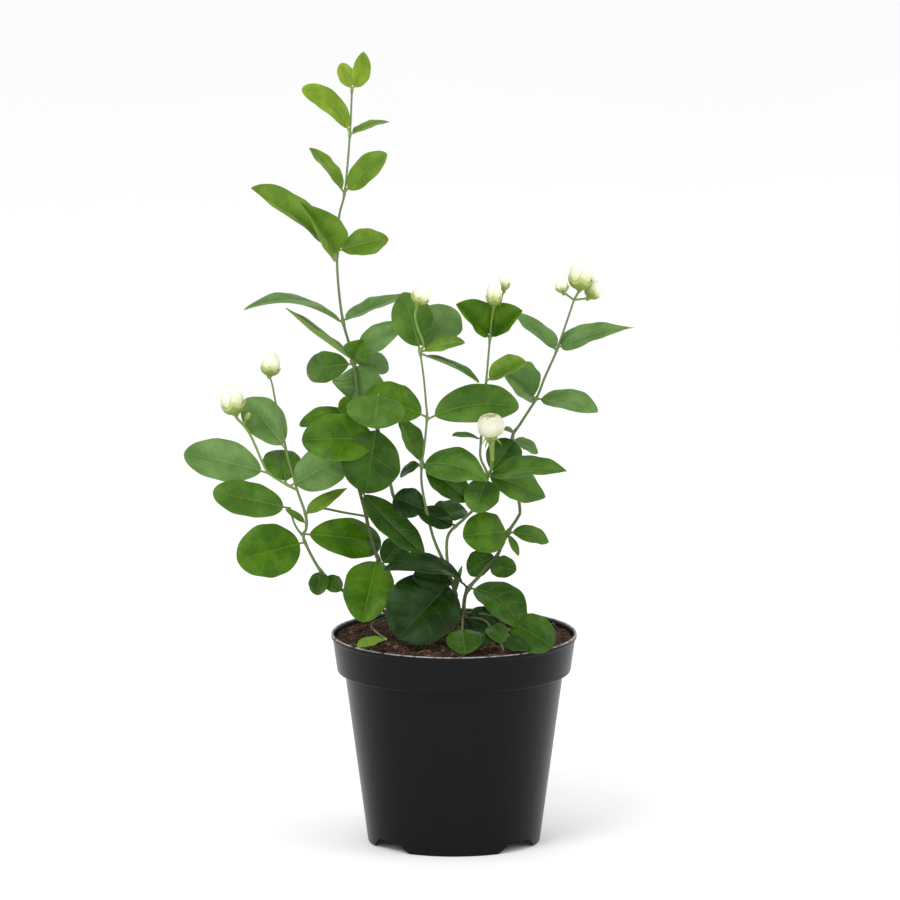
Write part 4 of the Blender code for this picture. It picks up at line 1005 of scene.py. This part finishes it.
def add_cup(skin, base, tip, radius, slot, form):
    """A toothed cup round the foot of a bud, on a solid foot that narrows to its stalk."""
    height, tooth, teeth, foot, stalk = form
    foot, stalk = foot * MM, stalk * MM
    axis, side, across = bud_axes(base, tip)
    length = (tip - base).length
    clear = CALYX_CLEARANCE * MM
    wall = CALYX_WALL * MM
    seat = bud_radius(0.0, radius * MM)
    waist = seat * WAIST_SHARE

    def ring(place):
        """A ring whose radius and height depend on how near each point is to the tip of a tooth."""
        made = []
        for k, turn in enumerate(turns(teeth * TOOTH_CELLS)):
            phase = abs(k / TOOTH_CELLS % 1.0 - 0.5) * 2
            r, z, along = place((1 - phase) ** 1.4)
            made.append((base + axis * z + turned(side, across, turn) * r, (along, phase, 0.0, 0.0)))
        return made

    def level(r, z, along):
        return ring(lambda near: (r, z, along))

    def toothed(share, thick):
        def place(near):
            at = (height + tooth * near) * share
            r = bud_radius(at, radius * MM) * CALYX_FIT + clear + thick * wall
            r += CALYX_RIB * MM * near * share + CALYX_FLARE * MM * near * share**4
            return r, length * at, share
        return ring(place)

    rings = [
        level(stalk, -foot, 0.0),
        level(mixed(stalk, waist, 0.2), -foot * 0.72, 0.05),
        level(mixed(stalk, waist, 0.5), -foot * 0.42, 0.1),
        level(mixed(stalk, waist, 0.85), -foot * 0.18 - clear, 0.15),
        level(waist + wall * 0.9, -clear - 0.4 * MM, 0.2),
    ]
    rings += [toothed(share, 1.0 - 0.35 * share) for share in (0.15, 0.35, 0.55, 0.75, 0.9, 1.0)]
    rings += [toothed(share, 0.1) for share in (1.0, 0.9, 0.7, 0.45, 0.2)]
    skin.loft(rings + [level(seat + clear, -clear, 0.2)], slot)


def add_sepals(skin, seat, tip, slot):
    """Thin sepals that spread from the foot of the open bloom and curl down."""
    axis, side, across = bud_axes(seat, tip)
    for k in range(SEPALS):
        out = turned(side, across, 2 * math.pi * (k + 0.3) / SEPALS)
        reach = SEPAL_REACH * (1.0 + 0.2 * math.sin(2.9 * k))
        drop = SEPAL_DROP * (1.0 + 0.5 * math.sin(1.7 * k + 1.0))
        path = smooth_route([
            seat + out * (1.2 * MM) - axis * (0.6 * MM),
            seat + out * (reach * 0.55 * MM) + axis * (0.5 * MM),
            seat + out * (reach * MM) - axis * (drop * MM),
        ], 0.8 * MM)
        rings = []
        for i, place in enumerate(path):
            share = i / (len(path) - 1)
            ahead = heading(path, i)
            flat = ahead.cross(out.cross(axis)).normalized()
            wide = flat.cross(ahead).normalized()
            size = SEPAL_WIDTH * MM * (0.35 + 0.65 * (1 - share) ** 0.8)
            detail = (0.5 * share, 0.5, 0.0, 0.0)
            rings.append(oval_ring(place, wide * size, flat * (0.45 * size), SEPAL_SIDES, detail))
        end = path[-1] + (path[-1] - path[-2]).normalized() * (0.3 * MM)
        skin.loft(rings, slot, last=(end, (0.5, 0.5, 0.0, 0.0)))


def add_petal(skin, seat, axes, turn, profile, span, slot, phase):
    """A cupped petal with one edge inside its neighbour's, a rolled lip and a thin waved margin."""
    axis, side, across = axes
    rings = []
    for row in range(PETAL_ROWS + 1):
        t = row / PETAL_ROWS
        radius, height, share = smooth_profile(profile, t)
        share *= math.sqrt(max(0.0, 1 - max(0.0, (t - PETAL_TIP_START) / PETAL_TIP_REACH) ** 2.2))
        outer = []
        inner = []
        for k in range(-PETAL_CELLS, PETAL_CELLS + 1):
            way = k / PETAL_CELLS
            out = turned(side, across, math.radians(turn + way * span / 2 * share))
            wave = 0.22 * math.sin(3.0 * way + phase) * t**3 + 0.2 * t**6
            cup = -0.35 * (1 - way * way) * t * t
            r = radius * (1.0 + PETAL_OVERLAP * way) + wave + cup + 0.25 * abs(way) ** 3 * t**3
            half = PETAL_THICKNESS / 2 * mixed(1.0, 0.5, max(abs(way), t) ** 4)
            point = seat + axis * ((height - 0.6 * way * way * t**4) * MM)
            outer.append((point + out * ((r + half) * MM), (t, way, 0.0, 0.0)))
            inner.append((point + out * ((r - half) * MM), (t, way, 1.0, 0.0)))
        rings.append(outer + inner[::-1])
    skin.loft(rings, slot, first=EDGE, last=EDGE, sheet=True)


def make_bloom(petal):
    skin = Skin()
    seat, top = bloom_ends()
    axes = bud_axes(seat, top)
    for whorl, (count, offset, span, profile) in enumerate(BLOOM_WHORLS):
        for k in range(count):
            turn = 360 * (k + offset) / count
            add_petal(skin, seat, axes, turn, profile, span, 0, 1.9 * whorl + 2.3 * k)
    add_bud(skin, seat, top, BLOOM_CORE_RADIUS * HEART_SHARE, 0)
    dress(skin.make("open_bloom", [petal], BLOOM_CREASE), "petal", "bloom")


def make_buds(petal):
    for node, shoot, seat, tip, radius in BUDS:
        lean = LEANS[shoot]
        skin = Skin()
        add_bud(skin, spot(*seat, lean), spot(*tip, lean), radius, 0)
        dress(skin.make(node + "_petals", [petal], BUD_CREASE), "petal", node)


def add_stems(skin, name, feet, routes):
    """The shoot's stem and its branches. A branch that ends near a flower is a green stalk."""
    _, radii, branches, _ = SHOOTS[name]
    phase = float(len(name))
    tan = 1.0 if name == TAN_SHOOT else 0.0
    seats = [spot(*seat, LEANS[name]) for _, shoot, seat, _, _ in BUDS if shoot == name]
    if name == BLOOM_SHOOT:
        seats.append(bloom_ends()[0])
    add_stem(skin, routes[0], radii + [radii[-1]], feet, (0.0, 1.0), (tan, 0.0), phase)
    for path, (_, sizes) in zip(routes[1:], branches):
        ages = [1 - min(1.0, end.z / routes[0][0].z) for end in (path[0], path[-1])]
        gaps = [(end - seat).length for seat in seats for end in (path[0], path[-1])]
        stalk = 1.0 if gaps and min(gaps) < FLOWER_STALK_GAP * MM else 0.0
        add_stem(skin, path, sizes, feet, ages, (tan, stalk), phase)


def add_cups(skin, name, slot):
    """The green cups that the shoot ends in, the sepals of its bloom and its green bud."""
    lean = LEANS[name]
    for _, shoot, seat, tip, radius in BUDS:
        if shoot == name:
            add_cup(skin, spot(*seat, lean), spot(*tip, lean), radius, slot, CALYX)
    if name == BLOOM_SHOOT:
        seat, top = bloom_ends()
        add_cup(skin, seat, top, BLOOM_CORE_RADIUS, slot, BLOOM_CALYX)
        add_sepals(skin, seat, top, slot)
    if name == GREEN_BUD_SHOOT:
        low, high, radius = GREEN_BUD
        add_bud(skin, spot(*low, lean), spot(*high, lean), radius, slot, GREEN_BUD_PETALS)


def make_shoot(name, paints):
    """One shoot: its stem and branches, all its leaves, and the cups of its buds, as one piece."""
    rows, _, branches, leaves = SHOOTS[name]
    lean = LEANS[name]
    tones = sorted(set(row[-1] for row in leaves))
    materials = [paints["stem"], paints["cup"]] + [paints[tone] for tone in tones]
    skin = Skin()
    routes = [shoot_route(rows, lean)]
    for points, _ in branches:
        routes.append(smooth_route([spot(*point, lean) for point in points], STEM_STEP * MM))
    feet = [nearest_on(routes, *row[:2]) for row in leaves]
    add_stems(skin, name, feet, routes)
    for i, (row, foot) in enumerate(zip(leaves, feet)):
        Leaf(foot, spot(*row[2:5], lean), row[5:], i).add_to(skin, 2 + tones.index(row[-1]))
    add_cups(skin, name, 1)
    dress(skin.make(name + "_stem_and_leaves", materials, SHOOT_CREASE), name + "_leaf", "shoot_" + name)


# Pot

def pot_radius_inside(z):
    if z >= BAND_FOOT + 1.0:
        return mixed(BAND_FOOT_RADIUS, RIM_RADIUS, (z - BAND_FOOT) / BAND_HEIGHT) - WALL
    return mixed(BODY_FOOT_RADIUS, BODY_TOP_RADIUS, z / BAND_FOOT) - WALL


def pot_ring(radius, height, sides):
    """A ring round the pot's axis. Its height is a number, or a function of the place."""
    ring = []
    for turn in turns(sides):
        x, y = radius * math.cos(turn), radius * math.sin(turn)
        ring.append((pot_spot(x, y, height(x, y) if callable(height) else height), PLAIN))
    return ring


def rounded(outline, steps=4):
    """The outline of (radius, height, rounding) corners with an arc in place of each rounded one."""
    points = []
    for i, (r, z, size) in enumerate(outline):
        corner = Vector((r, z))
        if size <= 0:
            points.append(corner)
            continue
        before = Vector(outline[i - 1][:2]) - corner
        after = Vector(outline[(i + 1) % len(outline)][:2]) - corner
        a = corner + before.normalized() * min(size, before.length * 0.45)
        b = corner + after.normalized() * min(size, after.length * 0.45)
        for k in range(steps + 1):
            t = k / steps
            points.append(a * (1 - t) ** 2 + corner * (2 * t * (1 - t)) + b * t**2)
    return points


def cut(body, cutter):
    """Take the cutter's shape out of the body."""
    modifier = body.modifiers.new("cut", "BOOLEAN")
    modifier.operation = "DIFFERENCE"
    modifier.object = cutter
    modifier.solver = "EXACT"
    made = bpy.data.meshes.new_from_object(body.evaluated_get(bpy.context.evaluated_depsgraph_get()))
    body.modifiers.clear()
    body.data = made
    bpy.data.objects.remove(cutter)


def notch_cutter(turn):
    """A block that cuts one notch through the foot ring, with sides that curve out to its foot."""
    outline = [(NOTCH_HALF_WIDTH_FOOT + 3.0, -2.0)]
    for i in range(NOTCH_STEPS + 1):
        t = i / NOTCH_STEPS
        half = mixed(NOTCH_HALF_WIDTH_FOOT, NOTCH_HALF_WIDTH_TOP, t)
        outline.append((half, NOTCH_HEIGHT * t * t * (3 - 2 * t)))
    outline = [(-a, b) for a, b in reversed(outline)] + outline
    out = Vector((math.cos(turn), math.sin(turn), 0.0))
    along = Vector((-math.sin(turn), math.cos(turn), 0.0))
    rings = []
    for reach in NOTCH_REACH:
        middle = out * (BODY_FOOT_RADIUS + reach)
        rings.append([(pot_spot(*(middle + along * a + Vector((0, 0, b)))), PLAIN) for a, b in outline])
    skin = Skin()
    skin.loft(rings, 0)
    return skin.make("notch", [])


def drain_cutter(turn):
    place = (DRAIN_RING_RADIUS * math.cos(turn), DRAIN_RING_RADIUS * math.sin(turn), FLOOR_UNDERSIDE)
    bpy.ops.mesh.primitive_cylinder_add(
        vertices=DRAIN_SIDES, radius=DRAIN_RADIUS * MM, depth=DRAIN_CUT * MM, location=pot_spot(*place)
    )
    return bpy.context.active_object


def make_pot(material):
    outline = [
        (RIM_RADIUS - 1.2, POT_HEIGHT, 0.4),
        (RIM_RADIUS, POT_HEIGHT, 0.7),
        (RIM_RADIUS, POT_HEIGHT - 2.6, 0.5),
        (RIM_RADIUS - 0.9, POT_HEIGHT - 3.1, 0.5),
        (BAND_FOOT_RADIUS, BAND_FOOT + 0.2, 0.8),
        (BAND_FOOT_RADIUS - 0.7, BAND_FOOT - 0.4, 0.4),
        (BODY_TOP_RADIUS, BAND_FOOT - 0.4, 1.6),
        (BODY_FOOT_RADIUS, 0.9, 1.4),
        (BODY_FOOT_RADIUS - 0.4, 0.0, 0.3),
        (BODY_FOOT_RADIUS - 1.9, 0.0, 0.3),
        (BODY_FOOT_RADIUS - 2.0, 1.0, 0.0),
        (pot_radius_inside(FLOOR_UNDERSIDE) - 0.2, FLOOR_UNDERSIDE, 0.8),
        (MIDDLE_DRAIN_RADIUS, FLOOR_UNDERSIDE, 0.2),
        (MIDDLE_DRAIN_RADIUS, FLOOR_TOP, 0.2),
        (pot_radius_inside(FLOOR_TOP), FLOOR_TOP, 1.5),
        (pot_radius_inside(BAND_FOOT - 1.0), BAND_FOOT - 0.6, 1.0),
        (pot_radius_inside(BAND_FOOT + 2.2), BAND_FOOT + 2.2, 1.0),
        (pot_radius_inside(POT_HEIGHT - 2.0), POT_HEIGHT - 1.2, 0.6),
    ]
    skin = Skin()
    skin.loft([pot_ring(r, z, POT_SIDES) for r, z in rounded(outline)], 0, wrap=True)
    pot = skin.make("nursery_pot", [material])
    for degrees in NOTCH_TURNS:
        turn = math.radians(degrees)
        cut(pot, notch_cutter(turn))
        cut(pot, drain_cutter(turn))
    pot.data.name = "nursery_pot"
    shade(pot.data, POT_CREASE)
    dress(pot, "black_plastic", "pot")


# Soil

def soil_top(x, y):
    """Height of the soil's crumbly face at a place in millimetres from the pot's axis."""
    edge = (math.hypot(x, y) / (pot_radius_inside(SOIL_TOP) - SOIL_CLEARANCE)) ** 4
    rough = math.sin(0.31 * x + 1.3 * math.sin(0.17 * y))
    rough += math.sin(0.27 * y + 1.7 * math.sin(0.21 * x + 1.0))
    fine = math.sin(0.83 * x + 0.6 * y) * math.sin(0.71 * y - 0.4 * x)
    flat = SOIL_ROUGHNESS * (0.55 * rough + 0.5 * fine) * (1 - 0.6 * edge) - 0.8 * edge
    clod = noise.turbulence(Vector((x, y, 3.0)) * 0.16, 4, False)
    grit = noise.turbulence(Vector((x, y, 9.0)) * 0.5, 3, True)
    return SOIL_TOP + flat + 1.5 * clod + 1.1 * grit - 0.9


def make_soil(material):
    bottom = FLOOR_TOP + 0.3
    edge = pot_radius_inside(SOIL_TOP) - SOIL_CLEARANCE - 0.1
    rings = [
        pot_ring(pot_radius_inside(bottom) - SOIL_CLEARANCE, bottom, SOIL_SIDES),
        pot_ring(pot_radius_inside(BAND_FOOT - 1.0) - SOIL_CLEARANCE, BAND_FOOT - 0.6, SOIL_SIDES),
        pot_ring(pot_radius_inside(BAND_FOOT + 2.2) - SOIL_CLEARANCE - 0.1, BAND_FOOT + 2.6, SOIL_SIDES),
    ]
    for row in range(SOIL_RINGS):
        rings.append(pot_ring(edge * (1 - row / SOIL_RINGS), soil_top, SOIL_SIDES))
    skin = Skin()
    skin.loft(rings, 0, last=(pot_spot(0.0, 0.0, soil_top(0.0, 0.0)), PLAIN))
    dress(skin.make("potting_soil", [material]), "coco_soil", "soil")


def soil_place(draw):
    """A random place on the soil, in millimetres, clear of the pot's wall."""
    reach = (pot_radius_inside(SOIL_TOP) - CRUMB_MARGIN) * math.sqrt(draw.random())
    turn = draw.uniform(0, 2 * math.pi)
    return reach * math.cos(turn), reach * math.sin(turn)


def make_crumbs(materials, draw):
    """Loose lumps of peat of mixed sizes, each a dented ball bedded in the soil."""
    ball = bmesh.new()
    bmesh.ops.create_icosphere(ball, subdivisions=2, radius=1.0)
    shape = [v.co.copy() for v in ball.verts]
    faces = [tuple(v.index for v in f.verts) for f in ball.faces]
    ball.free()
    skin = Skin()
    for i in range(CRUMBS):
        x, y = soil_place(draw)
        size = CRUMB_SIZE + CRUMB_SPREAD * draw.random() ** 3
        lie = Matrix.Rotation(draw.uniform(0, 6.28), 3, "Z") @ Matrix.Rotation(draw.uniform(0, 6.28), 3, "X")
        squash = Vector([draw.uniform(*limits) for limits in CRUMB_SHAPE])
        centre = Vector((x, y, soil_top(x, y) + CRUMB_LIFT * size))
        start = len(skin.points)
        slot = 1 if draw.random() < CHIP_SHARE else 0
        for v in shape:
            dent = 1 + CRUMB_DENT * noise.noise(v * 1.7 + Vector((i, 0, 0)))
            place = lie @ (v * squash) * (size * dent) + centre
            skin.add_point(pot_spot(*place), (draw.random(), 0.0, 0.0, 0.0))
        for face in faces:
            skin.add_face(tuple(start + index for index in face), slot)
    dress(skin.make("soil_crumbs", materials, CRUMB_CREASE), "coco_soil")


def make_fibres(materials, draw):
    """Short bent coir fibres that lie over the soil, kept off the pot's wall."""
    limit = pot_radius_inside(SOIL_TOP) - FIBRE_MARGIN
    skin = Skin()
    for _ in range(FIBRES):
        x, y = soil_place(draw)
        way = draw.uniform(0, 2 * math.pi)
        step = draw.uniform(*FIBRE_LENGTHS) / FIBRE_STEPS
        radius = draw.uniform(*FIBRE_RADII) * MM
        curl = draw.uniform(-0.5, 0.5)
        path = []
        for k in range(FIBRE_STEPS + 1):
            reach = math.hypot(x, y)
            if reach > limit:
                x, y = x * limit / reach, y * limit / reach
            lift = 0.35 + draw.uniform(0.0, 0.5) + 0.8 * math.sin(math.pi * k / FIBRE_STEPS)
            path.append(pot_spot(x, y, soil_top(x, y) + lift))
            way += curl * 0.5 + draw.uniform(-0.35, 0.35)
            x += math.cos(way) * step
            y += math.sin(way) * step
        rings = []
        for k, place in enumerate(path):
            ahead = heading(path, k)
            side = ahead.cross(Vector((0.1, 0.2, 1.0))).normalized()
            side *= radius * (1 - abs(k / FIBRE_STEPS - 0.5))
            rings.append(oval_ring(place, side, ahead.cross(side), FIBRE_SIDES, PLAIN))
        skin.loft(rings, 0 if draw.random() < COIR_SHARE else 1)
    dress(skin.make("coir_fibres", materials), "coco_soil")


# Camera, floor and lights

def aim(obj, target):
    obj.rotation_mode = "QUATERNION"
    obj.rotation_quaternion = (target - obj.location).to_track_quat("-Z", "Y")


def make_camera():
    """Square on to the front, a little above the horizon, at the photo's scale."""
    camera = add_object("camera", bpy.data.cameras.new("camera"))
    camera.data.type = "ORTHO"
    camera.data.ortho_scale = IMAGE_SIZE * MM_PER_PIXEL * MM
    camera.data.clip_end = CAMERA_REACH
    right = (IMAGE_SIZE / 2 - POT_AXIS_PIXEL) * MM_PER_PIXEL * MM + PLANT_SHIFT_X
    height = (POT_FOOT_PIXEL - IMAGE_SIZE / 2) * MM_PER_PIXEL * MM / math.cos(CAMERA_ELEVATION)
    target = Vector((right, 0.0, height))
    back = Vector((0.0, -math.cos(CAMERA_ELEVATION), math.sin(CAMERA_ELEVATION)))
    camera.location = target + back * CAMERA_DISTANCE
    aim(camera, target)
    bpy.context.scene.camera = camera


def make_lamp(name, place, target, size, power):
    lamp = bpy.data.lights.new(name, "AREA")
    lamp.shape = "RECTANGLE"
    lamp.size, lamp.size_y = size
    lamp.energy = power
    obj = add_object(name, lamp)
    obj.location = place
    aim(obj, Vector(target))


def make_studio():
    bpy.ops.mesh.primitive_plane_add(size=FLOOR_SIZE, location=(0.0, 2.0, 0.0))
    floor = bpy.context.active_object
    floor.name = "floor"
    floor.data.materials.append(floor_paint())
    for lamp in LAMPS:
        make_lamp(*lamp)
    world = bpy.data.worlds.new("studio")
    world.use_nodes = True
    background = world.node_tree.nodes["Background"]
    background.inputs["Color"].default_value = (1.0, 1.0, 1.0, 1.0)
    background.inputs["Strength"].default_value = WORLD_LIGHT
    bpy.context.scene.world = world
    bpy.context.scene.view_settings.view_transform = "Standard"


def main():
    make_camera()
    paints = {tone: leaf_paint(tone) for tone in TONES}
    paints["stem"] = stem_paint()
    paints["cup"] = cup_paint()
    for name in SHOOTS:
        make_shoot(name, paints)
    make_buds(petal_paint("bud_petal", (224, 223, 202), (239, 238, 222)))
    make_bloom(petal_paint("bloom_petal", (224, 221, 180), (238, 236, 203)))
    make_pot(pot_paint())
    make_soil(soil_paint())
    peat = crumb_paint("peat", (0.014, 0.007, 0.004), (0.075, 0.036, 0.02))
    chip = crumb_paint("bark_chip", (0.1, 0.055, 0.03), (0.26, 0.16, 0.09))
    coir = crumb_paint("coir", (0.09, 0.035, 0.015), (0.24, 0.11, 0.05))
    straw = crumb_paint("straw", (0.22, 0.14, 0.07), (0.42, 0.3, 0.17))
    make_crumbs([peat, chip], random.Random(CRUMB_SEED))
    make_fibres([coir, straw], random.Random(FIBRE_SEED))
    make_studio()


main()
